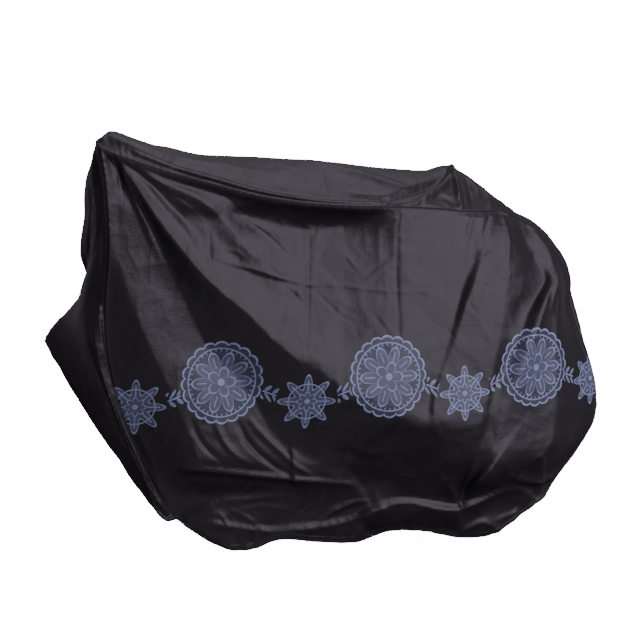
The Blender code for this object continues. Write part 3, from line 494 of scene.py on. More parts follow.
def side_panel(edges, lines, bulge, folds, side, seed):
    """Patch, moved to the depth of its lines or out by its swell, + normal x (folds + crumples + ripples
    along the seams and the hem)."""
    top, hem, front, rear = map(metres, edges)
    us, vs = crowded(COLUMNS, FRONT_CROWDING), crowded(ROWS, TOP_CROWDING)
    grid = patch(top, hem, front, rear, us, vs)
    x, z = grid[..., 0].copy(), grid[..., 2].copy()
    from_top = np.linalg.norm(grid - grid[:1], axis=2)
    from_front = np.linalg.norm(grid - grid[:, :1], axis=2)
    from_rear = np.linalg.norm(grid - grid[:, -1:], axis=2)
    from_hem = np.linalg.norm(grid - grid[-1:], axis=2)
    from_seam = np.minimum(np.minimum(from_top, from_front), from_rear)
    if lines:
        held = ease(np.minimum(from_seam, from_hem) / EDGE_REACH)
        grid[..., 1] += (draped(x, z, [front, *map(metres, lines), rear]) - grid[..., 1]) * held
    if bulge:
        down = np.array([smooth(BULGE_DOWN, metres(row), vs) for row in bulge.values()])
        grid += outward(grid, side) * smooth(list(bulge), down, us).T[..., None]
    free = ease(from_seam / SEAM_HOLD)
    along_top = np.broadcast_to(walked_length(grid[0])[None], x.shape)
    along_side = np.broadcast_to(walked_length(grid[:, -1])[:, None], x.shape)
    top_nearest = from_top <= np.minimum(from_front, from_rear)
    run = np.where(top_nearest, along_top, along_side)
    drawn = fold_height(x, z, folds)
    random = CRUMPLE_HEIGHT * crumples(x, z, CRUMPLE_SPACING, seed)
    small = ripples(run, from_seam, PUCKER_RUN, PUCKER_HEIGHT, PUCKER_REACH, seed + 20)
    small += ripples(x, from_hem, GATHER_RUN, GATHER_HEIGHT, GATHER_REACH, seed + 30) * free
    out = (drawn + random) * free + small
    surface = grid + outward(grid, side) * out[..., None]
    surface[..., 2] -= UNDERSIDE
    flat = np.stack([x, z], axis=-1)
    return surface, {"flat": flat, "from_seam": from_seam, "from_hem": from_hem, "run": run}


near, near_marks = side_panel(
    (NEAR_TOP, NEAR_HEM, NEAR_FRONT, NEAR_REAR), NEAR_DRAPE, {}, NEAR_FOLDS + NEAR_CREASES, -1, seed=3)
far, far_marks = side_panel((FAR_TOP, FAR_HEM, FAR_FRONT, FAR_REAR), [], FAR_BULGE, FAR_FOLDS, 1, seed=5)
for name, panel in (("near", near), ("far", far)):
    low, high = panel.min((0, 1)).round(3), panel.max((0, 1)).round(3)
    print(name, "panel", panel.shape[:2], "points, from", low, "to", high)

# %% [markdown]
# ## The strip between the panels
#
# The strip is sewn to both panels, so its two edges are theirs. In between it is a row of cross-sections:
# a near shoulder, the crown and a far shoulder at each station, again joined by smooth curves. Its folds are
# drawn in the strip's own measure: the way walked along the near seam from the front hem, and the way across
# from that seam.

# %% The strip's cross-sections
# Station: 0 to 1 climbs the front, 1 to 2 runs along the top, 2 to 3 goes down the rear. Then the near
# shoulder measured from the near seam, the crown, and the far shoulder measured from the far seam, each as
# x, y, z in millimetres. STRIP_ACROSS gives their places as shares of the way across.
STRIP_ACROSS = (0.00, 0.14, 0.50, 0.86, 1.00)
STRIP = {
    0.00: ((-40, -8, 8), (-1113, 0, -415), (-40, -4, 20)),
    0.15: ((-6, -32, -14), (-1104, 0, -398), (-24, 12, -4)),
    0.35: ((-12, -34, -10), (-1082, 0, -370), (-26, 14, -4)),
    0.55: ((-34, -12, 0), (-1045, 0, -334), (-40, 0, 0)),
    0.66: ((-34, 30, 10), (-1012, 0, -296), (-50, -26, 0)),
    0.74: ((-26, 40, 0), (-994, -5, -262), (-48, -28, 0)),
    0.82: ((-18, 40, 0), (-1012, -50, -200), (-45, -26, 0)),
    0.90: ((-12, 36, 0), (-1004, -70, -110), (-40, -22, 0)),
    0.97: ((-14, 26, 4), (-985, -60, 15), (-30, -16, 6)),
    1.00: ((-6, 14, 14), (-935, -40, 88), (-12, -12, 26)),
    1.03: ((-6, 30, 44), (-880, -30, 84), (-6, -13, 30)),
    1.06: ((4, 14, 38), (-838, -20, 77), (2, -14, 34)),
    1.14: ((14, 9, 24), (-745, -10, 57), (10, -18, 30)),
    1.30: ((18, 12, 22), (-585, 0, 45), (10, -18, 30)),
    1.50: ((16, 16, 22), (-400, 0, 34), (0, -16, 28)),
    1.68: ((10, 20, 26), (-200, 0, 13), (0, -18, 26)),
    1.80: ((10, 26, 38), (-80, 0, 6), (0, -22, 30)),
    1.90: ((10, 36, 46), (0, 0, 14), (0, -34, 36)),
    1.96: ((12, 28, 30), (56, 0, -22), (8, -28, 28)),
    2.00: ((14, 22, 14), (105, 0, -68), (14, -24, 14)),
    2.12: ((10, 20, 10), (218, 0, -132), (12, -22, 8)),
    2.30: ((12, 20, 4), (326, 0, -278), (14, -22, 4)),
    2.55: ((10, 20, 4), (398, 0, -508), (12, -20, 4)),
    2.75: ((12, 20, -2), (418, 0, -700), (12, -20, 0)),
    2.90: ((14, 20, -8), (330, 0, -822), (12, -18, -6)),
    3.00: ((10, 22, -2), (270, 0, -892), (10, -20, 0)),
}
print("cross-sections of the strip:", len(STRIP))

# %% The strip's folds, in millimetres along it and across it
STRIP_FOLDS = [
    # the rolled shoulder along the top, just above the near seam
    ([(1090, 24), (1160, 20), (1278, 16), (1436, 15), (1622, 13), (1772, 11), (1930, 9)],
      (20, 12, 14, 9), (3, 6, 1), 0.3),
    # soft panes and ridges along the top
    ([(1120, 60), (1180, 75), (1260, 95), (1360, 105), (1460, 125)], (40, 22, 40, 26), (2, 7, 1), 0.6),
    ([(1603, 170), (1605, 116), (1609, 60), (1613, 14)], (16, 16, 12, 12), (-0.8, -3, -1), 0.9),
    ([(1560, 240), (1605, 221), (1647, 184), (1718, 146), (1809, 85), (1850, 60)],
      (36, 40, 34, 26), (2, 13, 3), 0.9),
    ([(1640, 60), (1700, 40), (1790, 34)], (20, 16, 16, 12), (1, 4, 1), 0.8),
    # the dark diagonal groove below the rear peak and the bright facets beyond it
    ([(1770, 8), (1815, 36), (1870, 70), (1943, 115), (1990, 160)], (24, 40, 30, 36), (-6, -16, -4), 0.6),
    ([(1850, 6), (1892, 40), (1940, 74), (1975, 115), (2003, 160)], (36, 24, 30, 24), (5, 13, 8), 0.8),
    ([(1900, 30), (1940, 40), (1985, 20)], (16, 16, 16, 16), (-2, -8, -2), 0.8),
    ([(2023, 200), (2003, 149), (1993, 68), (2000, 8)], (26, 22, 16, 18), (8, 18, 7), 1),
    ([(2050, 150), (2045, 90), (2040, 20)], (22, 22, 18, 18), (-3, -13, -3), 0.6),
    ([(2085, 110), (2095, 57), (2095, 12)], (18, 18, 14, 14), (2, 8, 2), 0.9),
    ([(2180, 150), (2170, 80), (2180, 12)], (20, 20, 14, 14), (1, 3.5, 0.6), 0.8),
    # narrow folds down the front, between the high corners and the flap
    ([(1020, 40), (988, 36), (944, 45), (896, 48), (852, 40), (786, 48), (740, 75)],
      (14, 14, 18, 18), (2, 9, 2), 0.6),
    ([(1010, 20), (940, 24), (880, 22), (800, 26)], (10, 10, 12, 12), (-1, -7, -1), 0.5),
    ([(870, 20), (796, 18), (756, 16), (680, 16)], (10, 10, 12, 10), (1, 5, 1), 0.7),
    ([(990, 90), (920, 110), (840, 120), (740, 130)], (26, 26, 30, 30), (-2, -12, -2), 0.4),
    ([(1000, 150), (900, 180), (800, 200), (700, 200)], (30, 30, 36, 36), (2, 11, 2), 0.4),
    ([(1000, 330), (900, 330), (800, 300), (700, 270)], (36, 36, 36, 36), (2, 10, 2), 0.4),
    # the hollow beside the near seam of the flap
    ([(30, 40), (300, 40), (560, 38), (640, 34)], (28, 28, 26, 26), (-10, -13, -6), 0.3),
    ([(30, 14), (300, 14), (480, 15), (610, 14)], (12, 12, 12, 12), (3, 5, 4), 1),
    # slack waves over the flap
    ([(560, 120), (420, 200), (260, 330), (60, 460)], (40, 50, 70, 80), (1, 5, 2), 0.3),
    ([(500, 60), (360, 110), (200, 220), (20, 320)], (30, 30, 60, 60), (-1, -5, -1), 0.3),
    ([(420, 420), (300, 520), (160, 700), (30, 820)], (50, 50, 70, 70), (1, 6, 2), 0.3),
    # long falls down the rear
    ([(2300, 60), (2450, 80), (2620, 70), (2780, 90)], (30, 26, 30, 26), (1, 6, 1), 0.6),
    ([(2360, 150), (2520, 140), (2700, 160), (2860, 140)], (26, 30, 26, 30), (-1, -5, -1), 0.4),
    ([(2620, 200), (2700, 110), (2760, 30)], (22, 26, 22, 26), (1, 5, 1), 0.8),
]
print("folds drawn on the strip:", len(STRIP_FOLDS))

# %% The strip's surface
ACROSS_CELLS = 72  # cells across the strip
STRIP_HOLD = 0.010  # a fold grows from nothing over this distance from the strip's seams
STRIP_PUCKER = 0.55  # share of the panels' puckers, because the strip is pulled less
SEWN = 0.002  # ripples start this far from the stitches, so the pieces stay joined


def seam(grid):
    """A side panel's sewn edge: up its front, along its top and down its rear."""
    return np.concatenate([grid[::-1, 0], grid[0, 1:], grid[1:, -1]])


def strip(near_seam, far_seam, seed):
    """At each station a smooth curve through seam, shoulder, crown, shoulder and seam, read at steps that
    crowd towards the seams as a cosine does. Then normal x (folds + crumples + ripples)."""
    climb, run = crowded(ROWS, TOP_CROWDING), crowded(COLUMNS, FRONT_CROWDING)
    stations = np.concatenate([1 - climb[::-1], 1 + run[1:], 2 + climb[1:]])
    inner = smooth(list(STRIP), metres(list(STRIP.values())), stations)
    inner[:, 0] += near_seam
    inner[:, 1, 2] -= UNDERSIDE
    inner[:, 2] += far_seam
    points = np.concatenate([near_seam[:, None], inner, far_seam[:, None]], axis=1)
    across = 0.5 - 0.5 * np.cos(np.linspace(0.0, np.pi, ACROSS_CELLS + 1))
    grid = smooth(STRIP_ACROSS, points.swapaxes(0, 1), across).swapaxes(0, 1)
    p = np.broadcast_to(walked_length(near_seam)[:, None], grid.shape[:2])
    steps = np.linalg.norm(np.diff(grid, axis=1), axis=2)
    q = np.concatenate([np.zeros((len(grid), 1)), np.cumsum(steps, axis=1)], axis=1)
    from_seam = np.minimum(q, q[:, -1:] - q)
    from_hem = np.minimum(p, p[-1:] - p)
    free = ease(from_seam / STRIP_HOLD)
    drawn = fold_height(p, q, STRIP_FOLDS)
    random = CRUMPLE_HEIGHT * crumples(p, q, CRUMPLE_SPACING, seed)
    small = ripples(p, from_seam, PUCKER_RUN, STRIP_PUCKER * PUCKER_HEIGHT, PUCKER_REACH, seed + 20)
    small += ripples(q, from_hem, GATHER_RUN, GATHER_HEIGHT, GATHER_REACH, seed + 30) * free
    out = (drawn + random) * free + small * ease(from_seam / SEWN)
    surface = grid + outward(grid, -1) * out[..., None]
    flat = np.stack([p, q], axis=-1)
    return surface, {"flat": flat, "from_seam": from_seam, "from_hem": from_hem, "run": p}


top, top_marks = strip(seam(near), seam(far), seed=7)
print("strip", top.shape[:2], "points,", top_marks["run"].max().round(2), "m from hem to hem")

# %% [markdown]
# ## From points to cloth
#
# A grid of points becomes a sheet of four-sided faces. `foreach_set` hands Blender each whole array at once.
# The sheet keeps a UV map in metres, so that the print and the weave lie in the cloth, and three measures
# that the stitching needs: how far a point is from a seam, how far from the hem, and how far along. Solidify
# then gives the sheet a thickness, inwards, so that the outer face stays where it was worked out.

# %% Sheets
CLOTH_THICKNESS = 0.0011
MARKS = ("from_seam", "from_hem", "run")  # the measures that each sheet keeps for its stitches


def add_object(name, data):
    """A new object at the origin, linked to the scene."""
    item = bpy.data.objects.new(name, data)
    bpy.context.scene.collection.objects.link(item)
    return item


def add_sheet(name, grid, marks, flip, node):
    """One sheet: face (i, j) joins the grid's points (i, j), (i + 1, j), (i + 1, j + 1) and (i, j + 1)."""
    ids = np.arange(grid[..., 0].size).reshape(grid.shape[:2])
    quads = np.stack([ids[:-1, :-1], ids[1:, :-1], ids[1:, 1:], ids[:-1, 1:]], axis=-1).reshape(-1, 4)
    if flip:
        quads = quads[:, ::-1]
    mesh = bpy.data.meshes.new(name)
    mesh.from_pydata(grid.reshape(-1, 3), [], quads)
    mesh.shade_smooth()
    corners = np.empty(len(mesh.loops), np.int32)
    mesh.loops.foreach_get("vertex_index", corners)
    uv = mesh.uv_layers.new(name="cloth")
    uv.uv.foreach_set("vector", marks["flat"].reshape(-1, 2)[corners].astype(np.float32).ravel())
    for mark in MARKS:
        layer = mesh.attributes.new(mark, "FLOAT", "POINT")
        layer.data.foreach_set("value", marks[mark].astype(np.float32).ravel())
    piece = add_object(name, mesh)
    wall = piece.modifiers.new("thickness", "SOLIDIFY")
    wall.thickness = CLOTH_THICKNESS
    wall.offset = -1.0
    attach(piece, "root")
    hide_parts(node)
    area = sum(p.area for p in mesh.polygons)
    print(name, len(quads), "faces,", round(area, 2), "square metres of cloth")
    return piece


near_panel = add_sheet("near_panel_cloth", near, near_marks, False, "near_side_panel")
far_panel = add_sheet("far_panel_cloth", far, far_marks, True, "far_side_panel")
gusset = add_sheet("gusset_cloth", top, top_marks, False, "gusset_strip")

# %% [markdown]
# ## The finish: coated nylon
#
# The cloth is plain-woven nylon with a polyurethane coating: nearly black, because the dye takes up most of
# the light, with a satin gloss that comes from the coating. That gloss does almost all of the shading. Where
# the cloth turns towards the light it looks grey, and elsewhere it stays black. So the base colour is very
# dark and the roughness middling. Every colour is written as the hex value a screen would show, and one
# function turns it into the linear light that Blender works in.

# %% Colours and one helper for nodes
def linear(code):
    """sRGB hex to linear: c / 12.92 below 0.04045, else ((c + 0.055) / 1.055) to the power 2.4."""
    c = np.array([int(code[i : i + 2], 16) for i in (1, 3, 5)]) / 255
    return (*np.where(c <= 0.04045, c / 12.92, ((c + 0.055) / 1.055) ** 2.4).tolist(), 1.0)


def add(tree, kind, inputs=(), **settings):
    """A node of that kind. `inputs` are in socket order or by name: a number or colour is set on the socket,
    and another node, or one of its outputs, is linked to it."""
    node = tree.nodes.new("ShaderNode" + kind)
    for name, value in settings.items():
        setattr(node, name, value)
    for key, value in inputs.items() if isinstance(inputs, dict) else enumerate(inputs):
        if isinstance(value, bpy.types.Node):
            value = value.outputs[0]
        if isinstance(value, bpy.types.NodeSocket):
            tree.links.new(value, node.inputs[key])
        else:
            node.inputs[key].default_value = value
    return node


print("mid grey in linear light", np.round(linear("#808080")[:3], 3))

# %% [markdown]
# ## The printed band
#
# Covers like this carry one band of screen print, in a pale blue-grey ink, a little below half their height.
# This one is a plain frieze: large rosettes and pointed stars, joined by a wavy stem with leaf sprigs. It
# repeats along the cloth, so each motif is a few sums on the distance and the angle from its own centre. A
# ring is where the distance is close to a radius. Petals are the same ring with a radius that shrinks a few
# times round. A ray is where the angle, folded back and forth, is close to 0. The print lies in the cloth's
# UV map, so it bends with the folds.

# %% The frieze as nodes
REPEAT = 0.430  # metres from one rosette to the next
ROSETTE = (-0.700, -0.515, 0.104)  # x and z of the first centre, and radius
STAR = (-0.485, -0.570, 0.070)
STEM_LEVEL, STEM_SWING = -0.542, 0.028  # height of the stem's middle, and how far it waves each way
LEAF_STEP, LEAF_LEAN = 0.0095, -0.7  # half the way from leaf to leaf, and a leaf's slant
LEAF_OFF, LEAF_HALF_WIDTH, LEAF_HALF_LENGTH = 0.0125, 0.0052, 0.0100  # its way off the stem, and its size
INK = "#8d9bbd"
INK_LINE = 0.0034  # width of a printed line, which the screen can't make finer
TINT, LEAF_TINT = 0.30, 0.8  # share of ink where a motif is only shaded, and in a leaf


def length(tree, a, b):
    """Square root of a squared + b squared."""
    return add(tree, "VectorMath", [add(tree, "CombineXYZ", [a, b])], operation="LENGTH").outputs["Value"]


def from_centre(tree, x, z, centre):
    """Distance and angle from the nearest repeat of a centre: x is wrapped to half a repeat each way."""
    dx = add(tree, "Math", [x, centre[0]], operation="SUBTRACT")
    dx = add(tree, "Math", [dx, REPEAT / 2, -REPEAT / 2], operation="WRAP")
    dz = add(tree, "Math", [z, centre[1]], operation="SUBTRACT")
    return length(tree, dx, dz), add(tree, "Math", [dz, dx], operation="ARCTAN2")


def ring(tree, distance, radius, width):
    """1 where the distance is within half the width of the radius."""
    return add(tree, "Math", [distance, radius, width / 2], operation="COMPARE")


def disc(tree, distance, radius, share=1.0):
    """The share where the distance is less than the radius."""
    inside = add(tree, "Math", [distance, radius], operation="LESS_THAN")
    return add(tree, "Math", [inside, share], operation="MULTIPLY")


def rays(tree, distance, angle, count, inner, outer, width):
    """1 on straight rays: the angle folded to 0 to pi / count, times the distance, is less than half the
    width, between two radii."""
    folded = add(tree, "Math", [angle, np.pi / count], operation="PINGPONG")
    aside = add(tree, "Math", [folded, distance], operation="MULTIPLY")
    on = add(tree, "Math", [aside, width / 2], operation="LESS_THAN")
    between = ring(tree, distance, (inner + outer) / 2, outer - inner)
    return add(tree, "Math", [on, between], operation="MULTIPLY")


def petal_edge(tree, angle, count, radius, depth, roundness):
    """Radius of an outline with that many petals: radius - depth (1 - |cos(count angle / 2)| to the power
    roundness), so a low power gives round petals and a high one gives points."""
    half = add(tree, "Math", [angle, count / 2], operation="MULTIPLY")
    swing = add(tree, "Math", [add(tree, "Math", [half], operation="COSINE")], operation="ABSOLUTE")
    bent = add(tree, "Math", [swing, roundness], operation="POWER")
    return add(tree, "Math", [bent, depth, radius - depth], operation="MULTIPLY_ADD")


def most(tree, parts):
    """The largest of several values: the union of the shapes."""
    total = parts[0]
    for part in parts[1:]:
        total = add(tree, "Math", [total, part], operation="MAXIMUM")
    return total


def rosette(tree, x, z):
    """Two rows of round petals in a scalloped border with fine rays, and the disc that is kept clear of the
    stem."""
    distance, angle = from_centre(tree, x, z, ROSETTE)
    r = ROSETTE[2]
    border = petal_edge(tree, angle, 20, r, r * 0.09, 0.5)
    outer = petal_edge(tree, angle, 10, r * 0.74, r * 0.40, 0.6)
    heart = petal_edge(tree, angle, 5, r * 0.36, r * 0.22, 0.7)
    shapes = [
        ring(tree, distance, border, INK_LINE * 1.5), ring(tree, distance, r * 0.84, INK_LINE),
        ring(tree, distance, outer, INK_LINE * 1.3), ring(tree, distance, heart, INK_LINE * 1.2),
        rays(tree, distance, angle, 40, r * 0.76, r * 0.84, INK_LINE * 0.7),
        rays(tree, distance, angle, 10, r * 0.36, r * 0.62, INK_LINE * 0.8),
        disc(tree, distance, r * 0.09), disc(tree, distance, outer, TINT),
        disc(tree, distance, border, TINT * 0.4),
    ]
    return most(tree, shapes), add(tree, "Math", [distance, r * 1.05], operation="LESS_THAN")


def star(tree, x, z):
    """A pointed star over a ring, with a small flower at its heart, and the disc kept clear of the stem."""
    distance, angle = from_centre(tree, x, z, STAR)
    r = STAR[2]
    points = petal_edge(tree, angle, 8, r, r * 0.52, 2.4)
    heart = petal_edge(tree, angle, 8, r * 0.36, r * 0.16, 0.8)
    shapes = [
        ring(tree, distance, points, INK_LINE * 1.5), ring(tree, distance, r * 0.66, INK_LINE),
        rays(tree, distance, angle, 8, r * 0.40, r * 0.82, INK_LINE * 0.9),
        ring(tree, distance, heart, INK_LINE * 1.1), disc(tree, distance, r * 0.10),
        disc(tree, distance, points, TINT),
    ]
    return most(tree, shapes), add(tree, "Math", [distance, r * 1.10], operation="LESS_THAN")


def sprigs(tree, x, z):
    """A wavy stem, level + swing x cosine, with a leaf above and below it at each short step: a leaf is where
    a folded x and the height off the stem lie inside a small ellipse."""
    turn = add(tree, "Math", [x, ROSETTE[0]], operation="SUBTRACT")
    turn = add(tree, "Math", [turn, 2 * np.pi / REPEAT], operation="MULTIPLY")
    wave = add(tree, "Math", [turn], operation="COSINE")
    level = add(tree, "Math", [wave, STEM_SWING, STEM_LEVEL], operation="MULTIPLY_ADD")
    off = add(tree, "Math", [z, level], operation="SUBTRACT")
    off = add(tree, "Math", [off], operation="ABSOLUTE")
    stem = add(tree, "Math", [off, INK_LINE * 0.6], operation="LESS_THAN")
    beside = add(tree, "Math", [off, LEAF_LEAN, x], operation="MULTIPLY_ADD")
    beside = add(tree, "Math", [beside, LEAF_STEP], operation="PINGPONG")
    beside = add(tree, "Math", [beside, LEAF_HALF_WIDTH], operation="DIVIDE")
    above = add(tree, "Math", [off, LEAF_OFF], operation="SUBTRACT")
    above = add(tree, "Math", [above, LEAF_HALF_LENGTH], operation="DIVIDE")
    return most(tree, [stem, disc(tree, length(tree, beside, above), 1.0, LEAF_TINT)])


def frieze(tree, x, z):
    """The share of ink at each point: 1 on a line, less where a motif is only tinted. The stem stops at the
    motifs."""
    flower, flower_disc = rosette(tree, x, z)
    points, star_disc = star(tree, x, z)
    clear = add(tree, "Math", [1.0, most(tree, [flower_disc, star_disc])], operation="SUBTRACT")
    stem = add(tree, "Math", [sprigs(tree, x, z), clear], operation="MULTIPLY")
    return most(tree, [flower, points, stem])


print("a repeat of the print is", REPEAT, "m long")

# %% [markdown]
# ## Weave, coating and stitches
#
# The relief of the finish has six parts. The weave is two sets of ridges at right angles. A real thread is a
# quarter of a millimetre wide, far finer than a picture of a whole cover can show, so the ridges are drawn
# 9.4 mm apart, which is about three of its dots. The coating adds shallow hills. Crushing leaves flat facets,
# each tilted its own way, and a net of fine cracks. A row of stitches, 4 mm long, runs along the seams and
# the hem and pulls the cloth down a little, and the turned hem stands up by its own second layer. The colour
# is mottled, and paler where an edge is rubbed.

# %% Coated nylon
WEAVE_STEP = 2 * np.pi * 0.0015  # from ridge to ridge, which is 9.4 mm
STITCH, STITCH_HALF_WIDTH, STITCH_SHARE = 0.004, 0.0007, 0.66  # a stitch and its gap, and the share of thread
SEAM_STITCH_AT, HEM_STITCH_AT, HEM_FOLD = 0.006, 0.015, 0.018  # ways in from the edge
HEM_STEP = 0.002  # the hem's inner edge slopes down over this
WEAVE_RISE, HILL_RISE, CRACK_RISE, HEM_RISE, STITCH_RISE = 0.00006, 0.0009, 0.00008, 0.0006, -0.0004
MOTTLES, HILLS, CRACKS, FLAKES = 9.0, 24.0, 26.0, 60.0  # how many to a metre
FACETS = ((7.0, 0.028), (16.0, 0.018))  # facets to a metre, and their steepest slope
CLOTH_ROUGHNESS, ROUGHNESS_SWING, INK_ROUGHER = 0.40, 0.03, 0.10
THIN_INK = 0.72  # the ink's cover where it flakes
CRACK_SPREAD = 0.06  # a crack fades out over this share of a cell
NYLON_IOR = 1.5
RUB_REACH, RUB_SHARE = 0.010, 0.45  # an edge is rubbed over this distance, at most by this share
SEAM_SHADE_REACH, SEAM_SHADE_GLOSS, CLOTH_GLOSS = 0.0045, 0.06, 0.5  # painted shade: gloss all but gone at a seam
RUBBED, SEWING = "#4a474e", "#3a373d"


def stitches(tree, run, distance, at):
    """1 on a dash: near the row, and in the first two thirds of each stitch length."""
    row = add(tree, "Math", [distance, at, STITCH_HALF_WIDTH], operation="COMPARE")
    phase = add(tree, "Math", [run, STITCH], operation="DIVIDE")
    phase = add(tree, "Math", [phase], operation="FRACT")
    dash = add(tree, "Math", [phase, STITCH_SHARE], operation="LESS_THAN")
    return add(tree, "Math", [row, dash], operation="MULTIPLY")


def facets(tree, uv, count, slope):
    """Tilted planes: each cell of a bent Voronoi pattern has its own random direction, and the height there
    is that direction times the way from the cell's centre. It fades to 0 at the cell's edge, so no step is
    left."""
    bend = add(tree, "TexNoise", {"Vector": uv, "Scale": count * 0.8, "Detail": 2.0})
    shift = add(tree, "VectorMath", {0: bend.outputs["Color"], "Scale": 0.6 / count}, operation="SCALE")
    place = add(tree, "VectorMath", [uv, shift], operation="ADD")
    cells = add(tree, "TexVoronoi", {"Vector": place, "Scale": count})
    border = add(tree, "TexVoronoi", {"Vector": place, "Scale": count}, feature="DISTANCE_TO_EDGE")
    way = add(tree, "VectorMath", [place, cells.outputs["Position"]], operation="SUBTRACT")
    tilt = add(tree, "VectorMath", [cells.outputs["Color"], (0.5, 0.5, 0.5)], operation="SUBTRACT")
    rise = add(tree, "VectorMath", [way, tilt], operation="DOT_PRODUCT").outputs["Value"]
    fade = add(tree, "MapRange", [border, 0.0, 0.30, 0.0, 2 * slope], interpolation_type="SMOOTHSTEP")
    return add(tree, "Math", [rise, fade], operation="MULTIPLY")


def coated_nylon(name, dark, light, printed):
    """Colour = cloth, mottled between two charcoals, under ink where printed and under thread at a stitch.
    Height = weave + hills + cracks + hem fold - stitches + facets, in metres."""
    material = bpy.data.materials.new(name)
    material.use_nodes = True
    tree = material.node_tree
    shader = tree.nodes["Principled BSDF"]
    uv = add(tree, "UVMap", uv_map="cloth")
    flat = add(tree, "SeparateXYZ", [uv])
    from_seam, from_hem, run = (
        add(tree, "Attribute", attribute_name=mark).outputs["Fac"] for mark in MARKS)

    def over(colour, share, code):
        """The colour under a share of another."""
        return add(tree, "Mix", {0: share, 6: colour, 7: linear(code)}, data_type="RGBA").outputs[2]

    mottle = add(tree, "TexNoise", {"Vector": uv, "Scale": MOTTLES, "Detail": 6.0, "Roughness": 0.6})
    colour = over(linear(dark), mottle, light)
    edge = add(tree, "Math", [from_seam, from_hem], operation="MINIMUM")
    rubbed = add(tree, "MapRange", [edge, 0.0, RUB_REACH, RUB_SHARE, 0.0])
    colour = over(colour, add(tree, "Math", [rubbed, mottle], operation="MULTIPLY"), RUBBED)
    smoothest, roughest = CLOTH_ROUGHNESS - ROUGHNESS_SWING, CLOTH_ROUGHNESS + ROUGHNESS_SWING
    rough = add(tree, "MapRange", [mottle, 0.3, 0.7, smoothest, roughest])
    if printed:
        flaking = add(tree, "TexNoise", {"Vector": uv, "Scale": FLAKES, "Detail": 4.0})
        cover = add(tree, "MapRange", [flaking, 0.30, 0.48, THIN_INK, 1.0])
        printing = frieze(tree, flat.outputs["X"], flat.outputs["Y"])
        ink = add(tree, "Math", [printing, cover], operation="MULTIPLY")
        colour = over(colour, ink, INK)
        rough = add(tree, "Math", [ink, INK_ROUGHER, rough], operation="MULTIPLY_ADD")
    sewn = most(tree, [
        stitches(tree, run, from_seam, SEAM_STITCH_AT), stitches(tree, run, from_hem, HEM_STITCH_AT)])
    colour = over(colour, sewn, SEWING)

    ridges = {"Vector": uv, "Scale": 2 * np.pi / (20 * WEAVE_STEP)}  # a unit of a wave texture is 20 radians
    weave = most(tree, [add(tree, "TexWave", ridges, bands_direction=axis) for axis in "XY"])
    coating = add(tree, "TexNoise", {"Vector": uv, "Scale": HILLS, "Detail": 3.0})
    cracks = add(tree, "TexVoronoi", {"Vector": uv, "Scale": CRACKS}, feature="DISTANCE_TO_EDGE")
    crack = add(tree, "MapRange", [cracks, 0.0, CRACK_SPREAD, 1.0, 0.0])
    hem = add(tree, "MapRange", [from_hem, HEM_FOLD - HEM_STEP, HEM_FOLD, 1.0, 0.0])
    height = add(tree, "Math", [weave, WEAVE_RISE], operation="MULTIPLY")
    for part, rise in ((coating, HILL_RISE), (crack, CRACK_RISE), (hem, HEM_RISE), (sewn, STITCH_RISE)):
        height = add(tree, "Math", [part, rise, height], operation="MULTIPLY_ADD")
    for count, slope in FACETS:
        height = add(tree, "Math", [facets(tree, uv, count, slope), height], operation="ADD")
    bump = add(tree, "Bump", {"Height": height, "Distance": 1.0, "Strength": 1.0})
    # painted shade: within a few millimetres of a seam the specular level falls almost to nothing, drawing a
    # dark line along every seam
    gloss_with_seam_shade = add(tree, "MapRange", [from_seam, SEAM_SHADE_REACH / 3, SEAM_SHADE_REACH, SEAM_SHADE_GLOSS, CLOTH_GLOSS])

    for socket, value in (("Base Color", colour), ("Specular IOR Level", gloss_with_seam_shade.outputs[0]),
                          ("Roughness", rough.outputs[0]), ("Normal", bump.outputs[0])):
        tree.links.new(value, shader.inputs[socket])
    shader.inputs["Metallic"].default_value = 0.0
    shader.inputs["IOR"].default_value = NYLON_IOR
    print(name, len(tree.nodes), "nodes")
    return material


panel_finish = coated_nylon("coated_nylon_printed", "#191719", "#211f23", True)
strip_finish = coated_nylon("coated_nylon_plain", "#1b171a", "#221e22", False)
for piece, finish in ((near_panel, panel_finish), (far_panel, panel_finish), (gusset, strip_finish)):
    piece.data.materials.append(finish)

# %% [markdown]
# ## Floor, light and camera
#
# The real picture was taken in a white studio. One soft light, 3 m wide and 4.2 m tall, stands to the right
# of the camera. A weaker one, high up and behind on the right, brings out the top strip, and a faint glow
# comes up from below the camera, as from a white floor. Everything else is left dark, so folds that turn away
# fall into black. The surround is a white world, which shows white to the camera and lights the cloth only a
# little, with a touch of violet. Seen from behind, the far panel would be black, so it has a light of its
# own. So has the floor, because a floor as white as the surround needs far more light than the cloth. Light
# linking keeps those two lights to the one object that each is meant for.

# %% The floor and the white surround
FLOOR_LEVEL, FLOOR_REACH = -1.000, 12.0
FLOOR_COLOUR, FLOOR_ROUGHNESS = "#f4f4f4", 0.9
SURROUND = 20.0  # strength of the white surround as the camera sees it
ABOVE, BELOW = 0.19, 0.040  # and as light on the cloth, from above and from below
BELOW_ENDS, ABOVE_STARTS = -0.70, -0.20  # z of a direction: between these, one turns into the other
SURROUND_TINT, PLAIN = (1.07, 0.95, 1.14, 1.0), (1.0, 1.0, 1.0, 1.0)
floor_corners = [
    (FLOOR_REACH * x, FLOOR_REACH * y, FLOOR_LEVEL) for x, y in ((-1, -1), (1, -1), (1, 1), (-1, 1))]
floor_mesh = bpy.data.meshes.new("floor")
floor_mesh.from_pydata(floor_corners, [], [(0, 1, 2, 3)])
floor = add_object("floor", floor_mesh)
pale = bpy.data.materials.new("pale_floor")
pale.use_nodes = True
paint = pale.node_tree.nodes["Principled BSDF"].inputs
paint["Base Color"].default_value = linear(FLOOR_COLOUR)
paint["Roughness"].default_value = FLOOR_ROUGHNESS
floor_mesh.materials.append(pale)
floor.visible_glossy = floor.visible_diffuse = floor.visible_shadow = False

